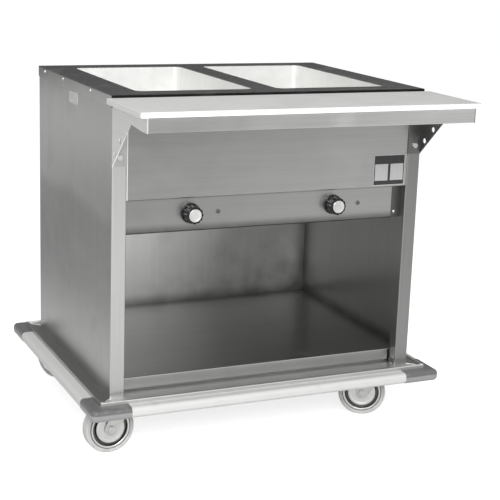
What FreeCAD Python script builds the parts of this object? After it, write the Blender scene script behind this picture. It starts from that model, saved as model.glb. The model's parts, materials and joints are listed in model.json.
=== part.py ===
import FreeCAD, Part
import math
import os
from FreeCAD import Vector

# Mobile hot-food trolley with two open wells, a work board at the front, an open storage
# compartment below and a bumper-wrapped base on four swivel casters.
# Millimetres, +Z up, +X to the user's right, the user stands at -Y.
# All shapes are drawn with y = 0 on the front face of the corner posts, and are moved to the
# part's own origin, the middle of its footprint on the floor, when they are written.

# ---------------------------------------------------------------- driving dimensions
# Cabinet
cabinet_width = 838.0        # over the side panels
cabinet_depth = 635.0        # front face of the posts to the back face
cabinet_height = 742.0       # base deck to the top surface
sheet = 1.2                  # stainless sheet of the cabinet
bend = 1.5                   # inside radius of a folded corner
post_face = 37.0             # front face of each folded corner post
post_return = 32.0           # depth of the post's inner return
rear_flange = 20.0           # side panel's flange behind the back panel
fit = 0.3                    # gap left at a free edge
past = 1.0                   # a cut runs this far past the face it opens

# Storage compartment
shelf_rise = 36.0            # base deck to the compartment floor
shelf_lip = 31.0             # height of the floor's front lip
shelf_gap = 1.0              # lip behind the posts' returns
shelf_end_gap = 5.0          # lip's ends to the posts' returns
kick_setback = 13.0          # kick strip behind the lip
shelf_flange = 20.0          # floor's flanges down the side panels

# Control band: an apron above a set-back control panel
panel_drop = 252.0           # top surface to the panel's top edge
panel_height = 86.0
panel_recess = 12.0          # panel face behind the post faces
panel_bend = 6.0             # soft lower edge of the panel
panel_flange = 26.0          # panel's flanges into the cabinet
panel_end_gap = 34.0         # from the panel's right end to the right post
end_strip_recess = 12.0      # end strip's face behind the panel's face
end_strip_bend = 0.3
apron_recess = 1.5
apron_flange = 28.0          # apron's flanges towards the back
ceiling_flange = 16.0
control_box_depth = 70.0
control_box_margin = 20.0    # control box ends to the panel's ends

# Top and wells
top_flange = 28.0            # height of the top's folded rim
top_round = 2.0              # rounding of the top's edges
well_width = 305.0
well_length = 508.0
well_depth = 160.0
well_corner = 20.0
well_floor_round = 12.0      # rounding where the well's walls meet its floor
well_divider = 66.0          # top surface left between the wells
liner_sheet = 1.0
liner_flange = 12.0          # liner's rim under the top
element_diameter = 8.0
element_runs = 4
element_end_margin = 16.0    # element's end bends to the well's ends
element_pitch = 72.0
insulation_thickness = 25.0
tray_overlap = 30.0          # element tray's walls up the liner

# Controls
knob_left_inset = 205.0      # cabinet's left side to the left knob's axis
knob_right_inset = 243.0     # cabinet's right side to the right knob's axis
knob_drop = 292.0            # top surface to the knob axes
lamp_offset = 73.0           # each knob's axis to its lamp
knob_gap = 0.8               # panel to the knob's skirt
knob_height = 31.0
knob_skirt_diameter = 50.0
knob_skirt_height = 5.0
knob_root_diameter = 46.0
knob_front_diameter = 44.0
knob_flutes = 12
knob_flute_radius = 4.0
knob_flute_stand_out = 2.0   # flute axes outside the knob's side
knob_edge = 1.0              # chamfer of the skirt and of the front
cap_diameter = 32.0
cap_seat_depth = 2.0
cap_stand = 2.5              # cap's edge above the knob's front
cap_crown = 1.5
cap_edge = 1.0
shaft_diameter = 6.0
shaft_in_knob = 22.0
shaft_in_control = 14.0
bushing_diameter = 10.0
bushing_stand = 4.0          # bushing in front of the panel
bushing_room = 5.0           # free room round the bushing inside the knob
control_body_width = 44.0
control_body_height = 40.0
control_body_depth = 30.0
running_fit = 0.05           # radial clearance of a shaft that turns
push_fit = 0.02              # radial clearance of a shaft pushed home
hole_clearance = 0.3         # radial clearance of a screw or a stud in its hole
lamp_diameter = 8.0
lamp_bezel_diameter = 11.0
lamp_bezel_height = 2.0
lamp_bezel_edge = 0.8
lamp_dome = 2.5
lamp_dome_shoulder = (0.8, 0.6)   # shares of the lens radius and of the dome's height
lamp_tail = 16.0

# Work board and its shelf
board_depth = 239.0
board_thickness = 12.7
board_overhang = 16.0        # past each side of the cabinet
board_drop = 6.0             # top surface to the board's face
board_round = 2.0
board_corner = 5.0
board_gap = 0.7              # board to the top's front rim
board_seat = 0.3             # board's underside to its shelf
shelf_lip_drop = 34.0        # front lip of the board shelf
shelf_hem = 12.0             # lip's return under the shelf
shelf_setback = 2.0          # lip behind the board's front edge
stud_diameter = 8.0
stud_height = 8.0
stud_edge = 1.0
stud_inset = 135.0           # board's ends to the studs

# Brackets that carry the shelf
bracket_plate = 2.0
bracket_foot_drop = 168.0    # top surface to the bracket's foot
bracket_post_top = 30.0      # top surface to the upper end of the flange on the post
bracket_top_flange = 25.0
bracket_nose = 34.0          # level stretch behind the shelf's lip
bracket_waist = 131.25       # post face to the corner above the sloping edge
bracket_waist_drop = 48.0    # top surface to that corner
bracket_waist_round = 3.0
bracket_tip_round = 1.0
bracket_hole_diameter = 13.5
bracket_hole_inset = 13.0    # hole centres from the sloping edge
bracket_hole_low = 20.0      # lower hole from the post face
bracket_hole_high = 58.0     # upper hole from the post face
bracket_bolt_drops = (66.0, 146.0)

# Base
caster_height = 152.0        # floor to the underside of the base deck
deck = 2.0
deck_reach = 34.0            # deck past the cabinet on every side
deck_inset = 92.0            # deck under the cabinet
rail_web = 30.0              # outer web below the deck
bead_width = 8.0
bead_height = 4.0
bead_round = 2.4
bumper_depth = 30.0
bumper_height = 28.0
bumper_drop = 6.0            # deck's face to the bumper's top
bumper_round = 11.0
corner_leg = 70.0            # bumper corner past the rail's corner
corner_extra = 1.0           # bumper corner's section is this much larger
corner_round = 14.0          # bumper corner's outer rounding, seen from above

# Casters
wheel_diameter = 127.0
tread_width = 32.0
tread_depth = 11.5
tread_shoulder = 3.0         # chamfered shoulder of the tyre
tread_edge = 0.9
sidewall_step = 1.2
swivel_lead = 44.0
swivel_rest = {"front_left": 4.0, "front_right": -28.0,   # degrees from trailing to the left
               "rear_left": -68.0, "rear_right": -15.0}
caster_inset_x = 55.0        # cabinet's side to the king pin
caster_inset_y = 48.0        # cabinet's front or back to the king pin
plate_length = 92.0
plate_width = 64.0
plate_thickness = 4.0
plate_corner = 6.0
bolt_spacing_x = 75.0
bolt_spacing_y = 45.0
race_radius = 27.0
race_height = 13.0
race_taper = 3.0             # race narrower at its foot
race_shoulder = 4.0          # height of that taper
race_gap = 0.3
crown_radius = 33.0
crown_thickness = 4.0
king_pin_radius = 7.0
king_pin_head_radius = 12.0
king_pin_head = 4.0
fork_plate = 3.0
fork_gap = 1.0               # hub to the fork's leg
fork_eye_radius = 17.0
fork_front_reach = 30.0      # leg's upper corner ahead of the king pin
fork_edge_front = 165.0      # degrees round the eye where the leg's front edge meets it
fork_edge_rear = 323.0       # the same for its rear edge
fork_shoulder = 8.0          # rounding of the leg's rear upper corner
fork_rear_reach = 22.0       # leg's upper corner past the king pin
hub_overhang = 2.5           # hub past each side of the tread
axle_diameter = 10.0
axle_head_across = 16.0
axle_end = 1.5               # axle bolt past its nut
disc_radius = 38.0           # bright face of the wheel core
groove_radius = 46.0
groove_depth = 8.0
groove_taper = 1.0
boss_wall = 7.0              # hub round its bore
boss_taper = 2.0
disc_stand = 1.0             # disc's face past the tread's side
disc_edge = 3.0

# Fasteners and fittings
screw_diameter = 4.0
screw_head_diameter = 8.5
screw_head_height = 2.4
screw_length = 8.0
screw_edge_share = 0.45      # of the head's height, where its dome starts
screw_dome_share = 0.70      # of the head's radius, at the dome's shoulder
screw_shoulder_share = 0.85  # of the head's height, at the dome's shoulder
screw_drop = 9.0             # top surface to the rim screws
side_screw_places = (0.26, 0.63, 0.90)
back_screw_places = (-0.8, -0.27, 0.27, 0.8)
bolt_diameter = 8.0
bolt_head_across = 13.0
bolt_head_height = 5.3
nut_height = 6.5
end_screw_drop = 324.0
plate_size = (92.0, 80.0)
plate_margin = 5.7           # plate's right edge to the right post
plate_lift = 44.0            # panel's top edge to the middle of the plate
label_thickness = 0.8
tag_size = (72.0, 30.0)
tag_centre_y = 310.0
tag_drop = 45.0
gland_inset = 89.0           # cabinet's right side to the gland's axis
gland_drop = 300.0
gland_thread_radius = 10.0
gland_nut_across = 27.0
gland_nut_height = 7.0
gland_dome_radius = 10.5
gland_dome_height = 16.0
gland_dome_straight = 9.6
gland_mouth_radius = 6.8
gland_bore_radius = 4.5
gland_tail = 12.0

# ---------------------------------------------------------------- worked-out places
half_width = cabinet_width / 2
wheel_radius = wheel_diameter / 2
base_top = caster_height + deck
top_z = base_top + cabinet_height
under_top = top_z - sheet
back_face = cabinet_depth - sheet
opening_half = half_width - post_face - fit
floor_z = base_top + shelf_rise
shelf_face = post_return + shelf_gap
kick_face = shelf_face + kick_setback
panel_top = top_z - panel_drop
panel_bottom = panel_top - panel_height
panel_back = panel_recess + sheet
panel_left_x = -opening_half
panel_right_x = half_width - post_face - panel_end_gap
ceiling_z = panel_bottom + 2 * sheet
rim_inner = fit
rim_outer = fit + sheet
gland_x = half_width - gland_inset
board_half = half_width + board_overhang
board_back = -rim_outer - board_gap
board_front = -rim_outer - board_gap - board_depth
board_top = top_z - board_drop
board_bottom = board_top - board_thickness
shelf_top = board_bottom - board_seat
shelf_front = board_front + shelf_setback
shelf_end = half_width - bracket_plate
lip_bottom = shelf_top - shelf_lip_drop
well_centres = (-(well_divider + well_width) / 2, (well_divider + well_width) / 2)
well_middle_y = cabinet_depth / 2
well_floor = under_top - well_depth
element_z = well_floor - liner_sheet - fit - element_diameter / 2
insulation_top = element_z - element_diameter / 2 - fit
knob_places = {"left": -half_width + knob_left_inset, "right": half_width - knob_right_inset}
knob_z = top_z - knob_drop
knob_back = panel_recess - knob_gap
rail_half_x = half_width + deck_reach
rail_front = -deck_reach
rail_back = cabinet_depth + deck_reach
rail_width = deck_reach + deck_inset
bumper_top = base_top - bumper_drop
caster_places = {
    "front_left": (-half_width + caster_inset_x, caster_inset_y),
    "front_right": (half_width - caster_inset_x, caster_inset_y),
    "rear_left": (-half_width + caster_inset_x, cabinet_depth - caster_inset_y),
    "rear_right": (half_width - caster_inset_x, cabinet_depth - caster_inset_y),
}
crown_top = caster_height - plate_thickness - race_height - race_gap
hub_half = tread_width / 2 + hub_overhang
leg_inner = hub_half + fork_gap
footprint_middle_y = (board_front + rail_back + bumper_depth + corner_extra) / 2

X, Y, Z = Vector(1, 0, 0), Vector(0, 1, 0), Vector(0, 0, 1)
PLANES = {"xy": (X, Y, Z), "yz": (Y, Z, X), "xz": (X, Z, Y)}
MIRROR = {"left": -1, "right": 1}


# ---------------------------------------------------------------- drawing helpers
def write(name, *solids):
    """Write one node's solids, moved from the drawing place to the part's origin."""
    shape = solids[0] if len(solids) == 1 else Part.makeCompound(list(solids))
    shape = shape.copy()
    shape.translate(Vector(0, -footprint_middle_y, 0))
    shape.exportStep(os.path.join("parts", name + ".step"))


def block(x0, x1, y0, y1, z0, z1):
    """A box between two corners."""
    low = Vector(min(x0, x1), min(y0, y1), min(z0, z1))
    return Part.makeBox(abs(x1 - x0), abs(y1 - y0), abs(z1 - z0), low)


def rod(radius, start, end):
    """A cylinder from one point to another."""
    start, end = Vector(*start), Vector(*end)
    return Part.makeCylinder(radius, start.distanceToPoint(end), start, end - start)


def joined(first, *others):
    """Solids that are one piece of metal or one moulding."""
    return first.fuse(list(others)).removeSplitter().Solids[0]


def placed(plane, along, point):
    """A point of a flat drawing, put in space on a plane at a height along its normal."""
    first, second, normal = PLANES[plane]
    return first * point[0] + second * point[1] + normal * along


def rounded_run(points, radii):
    """Edges through an open line of points, each inner corner rounded by its radius."""
    edges = []
    start = points[0]
    for before, corner, after, radius in zip(points, points[1:], points[2:], radii):
        if radius <= 0:
            edges.append(Part.LineSegment(start, corner).toShape())
            start = corner
            continue
        to_before = (before - corner).normalize()
        to_after = (after - corner).normalize()
        half_angle = to_before.getAngle(to_after) / 2
        setback = radius / math.tan(half_angle)
        inward = (to_before + to_after).normalize()
        arc_start, arc_end = corner + to_before * setback, corner + to_after * setback
        arc_middle = corner + inward * (radius / math.sin(half_angle) - radius)
        if start.distanceToPoint(arc_start) > 1e-6:
            edges.append(Part.LineSegment(start, arc_start).toShape())
        edges.append(Part.Arc(arc_start, arc_middle, arc_end).toShape())
        start = arc_end
    edges.append(Part.LineSegment(start, points[-1]).toShape())
    return edges


def prism(plane, start, end, points, radii=None):
    """A closed outline on a plane, rounded at its corners, carried from start to end."""
    corners = [placed(plane, start, point) for point in points]
    radii = radii or [0] * len(corners)
    middle = (corners[-1] + corners[0]) * 0.5
    edges = rounded_run([middle] + corners + [middle], radii)
    face = Part.Face(Part.Wire(edges))
    return face.extrude(PLANES[plane][2] * (end - start))


def rounded_rectangle(centre, width, length, corner, z0, z1):
    """An upright prism with a rounded rectangle for its outline."""
    x0, x1 = centre[0] - width / 2, centre[0] + width / 2
    y0, y1 = centre[1] - length / 2, centre[1] + length / 2
    return prism("xy", z0, z1, [(x0, y0), (x1, y0), (x1, y1), (x0, y1)], [corner] * 4)


def sideways(path, distance):
    """The points of a flat line moved to its left, with mitred corners."""
    normals = []
    for start, end in zip(path, path[1:]):
        length = math.dist(start, end)
        normals.append(((start[1] - end[1]) / length, (end[0] - start[0]) / length))
    moved = []
    for point, before, after in zip(path, normals[:1] + normals, normals + normals[-1:]):
        scale = distance / (1 + before[0] * after[0] + before[1] * after[1])
        moved.append((point[0] + scale * (before[0] + after[0]),
                      point[1] + scale * (before[1] + after[1])))
    return moved


def folded_sheet(plane, start, end, path, thickness=sheet, bends=None):
    """Sheet metal folded along a flat line, its thickness to the line's left."""
    bends = bends or [bend] * (len(path) - 2)
    other = sideways(path, thickness)
    near, far = [], []
    for before, corner, after, radius in zip(path, path[1:], path[2:], bends):
        turn = ((corner[0] - before[0]) * (after[1] - corner[1])
                - (corner[1] - before[1]) * (after[0] - corner[0]))
        near.append(radius + thickness if turn > 0 else radius)
        far.append(radius if turn > 0 else radius + thickness)
    near_run = rounded_run([placed(plane, start, point) for point in path], near)
    far_points = [placed(plane, start, point) for point in reversed(other)]
    far_run = rounded_run(far_points, far[::-1])
    ends = [Part.LineSegment(placed(plane, start, path[-1]), far_points[0]).toShape(),
            Part.LineSegment(far_points[-1], placed(plane, start, path[0])).toShape()]
    face = Part.Face(Part.Wire(near_run + ends[:1] + far_run + ends[1:]))
    return face.extrude(PLANES[plane][2] * (end - start))


def turned(profile, centre, axis):
    """A profile of (radius, height) points turned once round an axis through a point."""
    points = [Vector(radius, 0, height) for radius, height in profile]
    face = Part.Face(Part.makePolygon(points + points[:1]))
    solid = face.revolve(Vector(0, 0, 0), Z, 360)
    solid.Placement = FreeCAD.Placement(Vector(*centre), FreeCAD.Rotation(Z, axis))
    return solid


def hexagon(across, start, end):
    """A six-sided prism from one point to another, measured across its flats."""
    start, end = Vector(*start), Vector(*end)
    corner = across / math.sqrt(3)
    points = [Vector(corner * math.cos(math.radians(60 * turn)),
                     corner * math.sin(math.radians(60 * turn)), 0) for turn in range(6)]
    face = Part.Face(Part.makePolygon(points + points[:1]))
    solid = face.extrude(Vector(0, 0, start.distanceToPoint(end)))
    solid.Placement = FreeCAD.Placement(start, FreeCAD.Rotation(Z, end - start))
    return solid


def handed(shape, side):
    """The right-hand piece as drawn, or its mirror image for the left."""
    return shape if MIRROR[side] > 0 else shape.mirror(Vector(0, 0, 0), X)


# ---------------------------------------------------------------- fasteners
def rim_screw_places():
    """Where the rim's screws stand: points on the rim's face and the way they point in."""
    places = []
    for side in (-1, 1):
        for share in side_screw_places:
            point = (side * (half_width + rim_outer), share * cabinet_depth, top_z - screw_drop)
            places.append((point, (-side, 0, 0)))
    for share in back_screw_places:
        point = (share * half_width, cabinet_depth + rim_outer, top_z - screw_drop)
        places.append((point, (0, -1, 0)))
    return places


def along(point, direction, distance):
    """A point moved along a direction."""
    return tuple(p + distance * d for p, d in zip(point, direction))


def screw(point, inward):
    """A domed screw whose head sits on a face at the point."""
    shank = rod(screw_diameter / 2, point, along(point, inward, screw_length))
    outward = Vector(*inward) * -1
    head_radius = screw_head_diameter / 2
    shoulder = (head_radius * screw_dome_share, screw_head_height * screw_shoulder_share)
    head = turned([(0, 0), (head_radius, 0), (head_radius, screw_head_height * screw_edge_share),
                   shoulder, (0, screw_head_height)], point, outward)
    return joined(shank, head)


def screw_hole(point, inward):
    """The clearance hole of a screw, from just outside its face."""
    radius = screw_diameter / 2 + hole_clearance
    return rod(radius, along(point, inward, -screw_head_height), along(point, inward, screw_length))


def bolt_and_nut(head_face, direction, grip):
    """A hexagon bolt through a grip length, and its nut on the far side."""
    head = hexagon(bolt_head_across, along(head_face, direction, -bolt_head_height), head_face)
    nut_face = along(head_face, direction, grip)
    end = along(nut_face, direction, nut_height + bolt_diameter / 4)
    shank = rod(bolt_diameter / 2, head_face, end)
    nut_end = along(nut_face, direction, nut_height)
    nut = hexagon(bolt_head_across, nut_face, nut_end)
    nut_bore = rod(bolt_diameter / 2 + push_fit, nut_face, nut_end)
    return [joined(head, shank), nut.cut(nut_bore)]


def bolt_hole(head_face, direction, grip):
    """The clearance hole of a bolt through its grip."""
    radius = bolt_diameter / 2 + hole_clearance
    return rod(radius, along(head_face, direction, -grip), along(head_face, direction, 2 * grip))


# ---------------------------------------------------------------- cabinet shell
def bracket_bolt_places(side):
    """Head faces of the two bolts that hold a bracket to its post."""
    x = MIRROR[side] * (half_width - post_face / 2)
    return [(x, -bracket_plate, top_z - drop) for drop in bracket_bolt_drops]


def side_panel(side):
    """Side sheet with the corner post folded on its front and a flange on its back."""
    path = [(half_width - post_face, post_return), (half_width - post_face, 0),
            (half_width, 0), (half_width, cabinet_depth),
            (half_width - rear_flange, cabinet_depth)]
    panel = handed(folded_sheet("xy", base_top, under_top, path), side)
    holes = [screw_hole(point, inward) for point, inward in rim_screw_places()]
    holes += [bolt_hole(point, Y, bracket_plate + sheet) for point in bracket_bolt_places(side)]
    return panel.cut(holes)


def back_panel():
    """Flat sheet welded inside the side panels' back flanges."""
    half = half_width - sheet - bend
    panel = block(-half, half, back_face - sheet, back_face, base_top, under_top)
    holes = [screw_hole(point, inward) for point, inward in rim_screw_places()]
    hole_radius = gland_thread_radius + hole_clearance
    gland_z = top_z - gland_drop
    holes.append(rod(hole_radius, (gland_x, back_face - 2 * sheet, gland_z),
                     (gland_x, cabinet_depth, gland_z)))
    return panel.cut(holes)


def bottom_shelf():
    """Compartment floor: front lip, kick strip on the deck, wings behind the posts."""
    back = back_face - sheet
    half = opening_half - shelf_end_gap
    path = [(back, floor_z), (shelf_face, floor_z), (shelf_face, floor_z - shelf_lip),
            (kick_face, floor_z - shelf_lip), (kick_face, base_top)]
    middle = folded_sheet("yz", -half, half, path)
    wing_front = shelf_face + sheet + bend
    wings = []
    for side in (-1, 1):
        outer = side * (half_width - sheet)
        wings.append(block(side * half, outer, wing_front, back - bend, floor_z - sheet, floor_z))
        wings.append(block(outer - side * sheet, outer, wing_front, back - bend,
                           floor_z - shelf_flange, floor_z))
    return joined(middle, *wings)


def compartment_ceiling():
    """Sheet over the compartment, with flanges up the back and the sides."""
    back = back_face - sheet
    front = post_return + fit
    outer = half_width - sheet
    path = [(front, ceiling_z - sheet), (back, ceiling_z - sheet), (back, ceiling_z + ceiling_flange)]
    plate = folded_sheet("yz", -outer, outer, path)
    flanges = [block(side * (outer - sheet), side * outer, front, back - sheet - bend,
                     ceiling_z - sheet, ceiling_z + ceiling_flange) for side in (-1, 1)]
    return joined(plate, *flanges)


def front_apron():
    """Sheet between the posts above the control panel, flanged back all round."""
    back = apron_recess + apron_flange
    path = [(back, under_top), (apron_recess, under_top), (apron_recess, panel_top),
            (back, panel_top)]
    plate = folded_sheet("yz", -opening_half, opening_half, path)
    flanges = [block(side * (opening_half - sheet), side * opening_half,
                     apron_recess + bend, back, panel_top, under_top) for side in (-1, 1)]
    return joined(plate, *flanges)


def control_panel():
    """Set-back panel with a soft lower edge, pierced for the controls and the lamps."""
    back = panel_recess + panel_flange
    path = [(back, panel_top), (panel_recess, panel_top), (panel_recess, panel_bottom),
            (back, panel_bottom)]
    panel = folded_sheet("yz", panel_left_x, panel_right_x, path, bends=[bend, panel_bend])
    holes = []
    for x in knob_places.values():
        radius = bushing_diameter / 2 + hole_clearance
        holes.append(rod(radius, (x, 0, knob_z), (x, panel_back + sheet, knob_z)))
        radius = lamp_diameter / 2 + hole_clearance
        lamp_x = x + lamp_offset
        holes.append(rod(radius, (lamp_x, 0, knob_z), (lamp_x, panel_back + sheet, knob_z)))
    return panel.cut(holes)


def end_screw_place():
    """Middle of the end strip's face, where its screw stands."""
    x = (panel_right_x + opening_half) / 2
    return (x, panel_recess + end_strip_recess, top_z - end_screw_drop)


def panel_end_strip():
    """Strip that closes the slot between the panel's right end and the right post."""
    face = panel_recess + end_strip_recess
    fold = panel_right_x + sheet
    path = [(fold, panel_recess), (fold, face), (opening_half, face)]
    strip = folded_sheet("xy", panel_bottom, panel_top, path, bends=[end_strip_bend])
    return strip.cut(screw_hole(end_screw_place(), Y))


def control_box():
    """Wiring box behind the control panel, open towards it."""
    front = panel_back + panel_bend
    back = front + control_box_depth
    x0, x1 = panel_left_x + control_box_margin, panel_right_x - control_box_margin
    z0, z1 = ceiling_z, panel_top - sheet
    outer = block(x0, x1, front, back, z0, z1)
    room = block(x0 + sheet, x1 - sheet, front - sheet, back - sheet, z0 + sheet, z1 - sheet)
    return outer.cut(room)


# ---------------------------------------------------------------- top and wells
def top_sheet():
    """Top with a folded rim all round and the two well openings."""
    outer_x = half_width + rim_outer
    inner_x = half_width + rim_inner
    z0 = top_z - top_flange
    outer = block(-outer_x, outer_x, -rim_outer, cabinet_depth + rim_outer, z0, top_z)
    soft = [edge for edge in outer.Edges if edge.BoundBox.ZMax > z0 + top_flange / 2]
    outer = outer.makeFillet(top_round, soft)
    room = block(-inner_x, inner_x, -rim_inner, cabinet_depth + rim_inner, z0 - sheet, under_top)
    cuts = [room]
    for x in well_centres:
        cuts.append(rounded_rectangle((x, well_middle_y), well_width, well_length, well_corner,
                                      under_top - sheet, top_z + sheet))
    cuts += [screw_hole(point, inward) for point, inward in rim_screw_places()]
    return outer.cut(cuts)


def round_floor(pan, radius):
    """A pan's outline with the edges round its floor rounded."""
    low = pan.BoundBox.ZMin
    edges = [edge for edge in pan.Edges if edge.BoundBox.ZMax < low + radius]
    return pan.makeFillet(radius, edges)


def well_liner(x):
    """Deep pan with a narrow rim under the top."""
    centre = (x, well_middle_y)
    wall = 2 * liner_sheet
    rim = 2 * liner_flange
    body = rounded_rectangle(centre, well_width + wall, well_length + wall,
                             well_corner + liner_sheet, well_floor - liner_sheet, under_top)
    flange = rounded_rectangle(centre, well_width + rim, well_length + rim,
                               well_corner + liner_flange, under_top - liner_sheet, under_top)
    room = rounded_rectangle(centre, well_width, well_length, well_corner,
                             well_floor, under_top + sheet)
    body = round_floor(body, well_floor_round + liner_sheet)
    room = round_floor(room, well_floor_round)
    return body.fuse(flange).removeSplitter().cut(room).Solids[0]


def heating_element(x):
    """Tubular element that winds to and fro under the well."""
    bend_radius = element_pitch / 2
    reach = well_length / 2 - element_end_margin - element_diameter / 2 - bend_radius
    edges = []
    side = -1
    for run in range(element_runs):
        run_x = x + (run - (element_runs - 1) / 2) * element_pitch
        start = Vector(run_x, well_middle_y + side * reach, element_z)
        end = Vector(run_x, well_middle_y - side * reach, element_z)
        edges.append(Part.LineSegment(start, end).toShape())
        if run < element_runs - 1:
            middle = end + Vector(bend_radius, -side * bend_radius, 0)
            edges.append(Part.Arc(end, middle, end + X * element_pitch).toShape())
        side = -side
    path = Part.Wire(edges)
    start = edges[0].Vertexes[0].Point
    section = Part.Wire(Part.makeCircle(element_diameter / 2, start, Y))
    return path.makePipeShell([section], True, False)


def well_insulation(x):
    """Insulating slab under the element."""
    return rounded_rectangle((x, well_middle_y), well_width, well_length, well_corner,
                             insulation_top - insulation_thickness, insulation_top)


def element_tray(x):
    """Shallow pan that holds the element and the slab against the liner."""
    centre = (x, well_middle_y)
    inner = 2 * liner_sheet
    outer = inner + 2 * sheet
    low = insulation_top - insulation_thickness
    high = well_floor + tray_overlap
    body = rounded_rectangle(centre, well_width + outer, well_length + outer,
                             well_corner + liner_sheet + sheet, low - sheet, high)
    room = rounded_rectangle(centre, well_width + inner, well_length + inner,
                             well_corner + liner_sheet, low, high + sheet)
    return body.cut(room)


# ---------------------------------------------------------------- controls
def heat_control(x):
    """Rotary heat control: a body behind the panel and a bushing through it."""
    half_x, half_z = control_body_width / 2, control_body_height / 2
    body = block(x - half_x, x + half_x, panel_back, panel_back + control_body_depth,
                 knob_z - half_z, knob_z + half_z)
    front = panel_recess - bushing_stand
    bushing = rod(bushing_diameter / 2, (x, front, knob_z), (x, panel_back + sheet, knob_z))
    bore = rod(shaft_diameter / 2 + running_fit, (x, front - past, knob_z),
               (x, panel_back + shaft_in_control + fit, knob_z))
    return joined(body, bushing).cut(bore)


def knob_shaft(x):
    """The control's turning shaft, from inside the control into the knob."""
    return rod(shaft_diameter / 2, (x, panel_back + shaft_in_control, knob_z),
               (x, knob_back - shaft_in_knob, knob_z))


def knob(x):
    """Fluted knob with a skirt, a seat for its cap and a blind bore for the shaft."""
    skirt, root = knob_skirt_diameter / 2, knob_root_diameter / 2
    front, seat = knob_front_diameter / 2, cap_diameter / 2 + push_fit
    profile = [(0, 0), (skirt, 0), (skirt, knob_skirt_height - knob_edge),
               (skirt - knob_edge, knob_skirt_height), (root, knob_skirt_height),
               (front, knob_height - knob_edge), (front - knob_edge, knob_height),
               (seat, knob_height),
               (seat, knob_height - cap_seat_depth), (0, knob_height - cap_seat_depth)]
    body = turned(profile, (x, knob_back, knob_z), Y * -1)
    room_end = panel_recess - bushing_stand - 2 * knob_gap
    cuts = [rod(shaft_diameter / 2 + push_fit, (x, knob_back + past, knob_z),
                (x, knob_back - shaft_in_knob, knob_z)),
            rod(bushing_diameter / 2 + bushing_room, (x, knob_back + past, knob_z),
                (x, room_end, knob_z))]
    for flute in range(knob_flutes):
        angle = 2 * math.pi * (flute + 0.5) / knob_flutes
        reach_root = root + knob_flute_stand_out
        reach_front = front + knob_flute_stand_out
        cuts.append(rod(knob_flute_radius,
                        (x + reach_root * math.sin(angle), knob_back - knob_skirt_height,
                         knob_z + reach_root * math.cos(angle)),
                        (x + reach_front * math.sin(angle), knob_back - knob_height - past,
                         knob_z + reach_front * math.cos(angle))))
    return body.cut(cuts)


def knob_cap(x):
    """Bright disc pressed into the knob's front, slightly crowned."""
    radius = cap_diameter / 2
    height = cap_seat_depth + cap_stand
    profile = [(0, 0), (radius, 0), (radius, height - cap_edge), (radius - cap_edge, height),
               (radius / 2, height + cap_crown * 3 / 4), (0, height + cap_crown)]
    return turned(profile, (x, knob_back - knob_height + cap_seat_depth, knob_z), Y * -1)


def lamp_lens(x):
    """Small domed pilot lens on a stem through the panel."""
    radius = lamp_diameter / 2
    stand = lamp_bezel_height
    wide, high = lamp_dome_shoulder
    profile = [(0, -lamp_tail), (radius, -lamp_tail), (radius, stand),
               (radius * wide, stand + lamp_dome * high), (0, stand + lamp_dome)]
    return turned(profile, (x, panel_recess, knob_z), Y * -1)


def lamp_bezel(x):
    """Collar round the lens on the panel's face."""
    inner = lamp_diameter / 2 + push_fit
    outer = lamp_bezel_diameter / 2
    profile = [(inner, 0), (outer, 0), (outer, lamp_bezel_height - lamp_bezel_edge),
               (outer - lamp_bezel_edge, lamp_bezel_height), (inner, lamp_bezel_height)]
    return turned(profile, (x, panel_recess, knob_z), Y * -1)


# ---------------------------------------------------------------- work board
def board_middle_y():
    """Middle of the board from front to back."""
    return (board_front + board_back) / 2


def stud_places():
    """The two studs that locate the board."""
    return [(side * (board_half - stud_inset), board_middle_y()) for side in (-1, 1)]


def board_stud(x, y):
    """Round stud on the shelf, with a soft tip."""
    radius = stud_diameter / 2
    profile = [(0, 0), (radius, 0), (radius, stud_height - stud_edge),
               (radius - stud_edge, stud_height), (0, stud_height)]
    return turned(profile, (x, y, shelf_top), Z)


def board_shelf():
    """Shelf under the board, folded down at the front with a return."""
    path = [(-rim_outer - fit, shelf_top), (shelf_front, shelf_top), (shelf_front, lip_bottom),
            (shelf_front + shelf_hem, lip_bottom)]
    return folded_sheet("yz", -shelf_end, shelf_end, path)


def cutting_board():
    """Thick white board with blind holes over the studs."""
    board = rounded_rectangle((0, board_middle_y()), 2 * board_half, board_depth, board_corner,
                              board_bottom, board_top)
    upper = [edge for edge in board.Edges if edge.BoundBox.ZMin > board_top - 1e-3]
    board = board.makeFillet(board_round, upper)
    radius = stud_diameter / 2 + hole_clearance
    holes = [rod(radius, (x, y, board_bottom - past), (x, y, shelf_top + stud_height + fit))
             for x, y in stud_places()]
    return board.cut(holes)


def bracket_slope():
    """Lower and upper ends of the bracket's sloping edge, as (y, z)."""
    return (0.0, top_z - bracket_foot_drop), (-bracket_waist, top_z - bracket_waist_drop)


def bracket_hole_places():
    """The two holes beside the sloping edge, as (y, z)."""
    (y0, z0), (y1, z1) = bracket_slope()
    length = math.dist((y0, z0), (y1, z1))
    rise = (z1 - z0) / (y0 - y1)
    lift = bracket_hole_inset * length / (y0 - y1)
    return [(-reach, z0 + rise * reach + lift) for reach in (bracket_hole_low, bracket_hole_high)]


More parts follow.
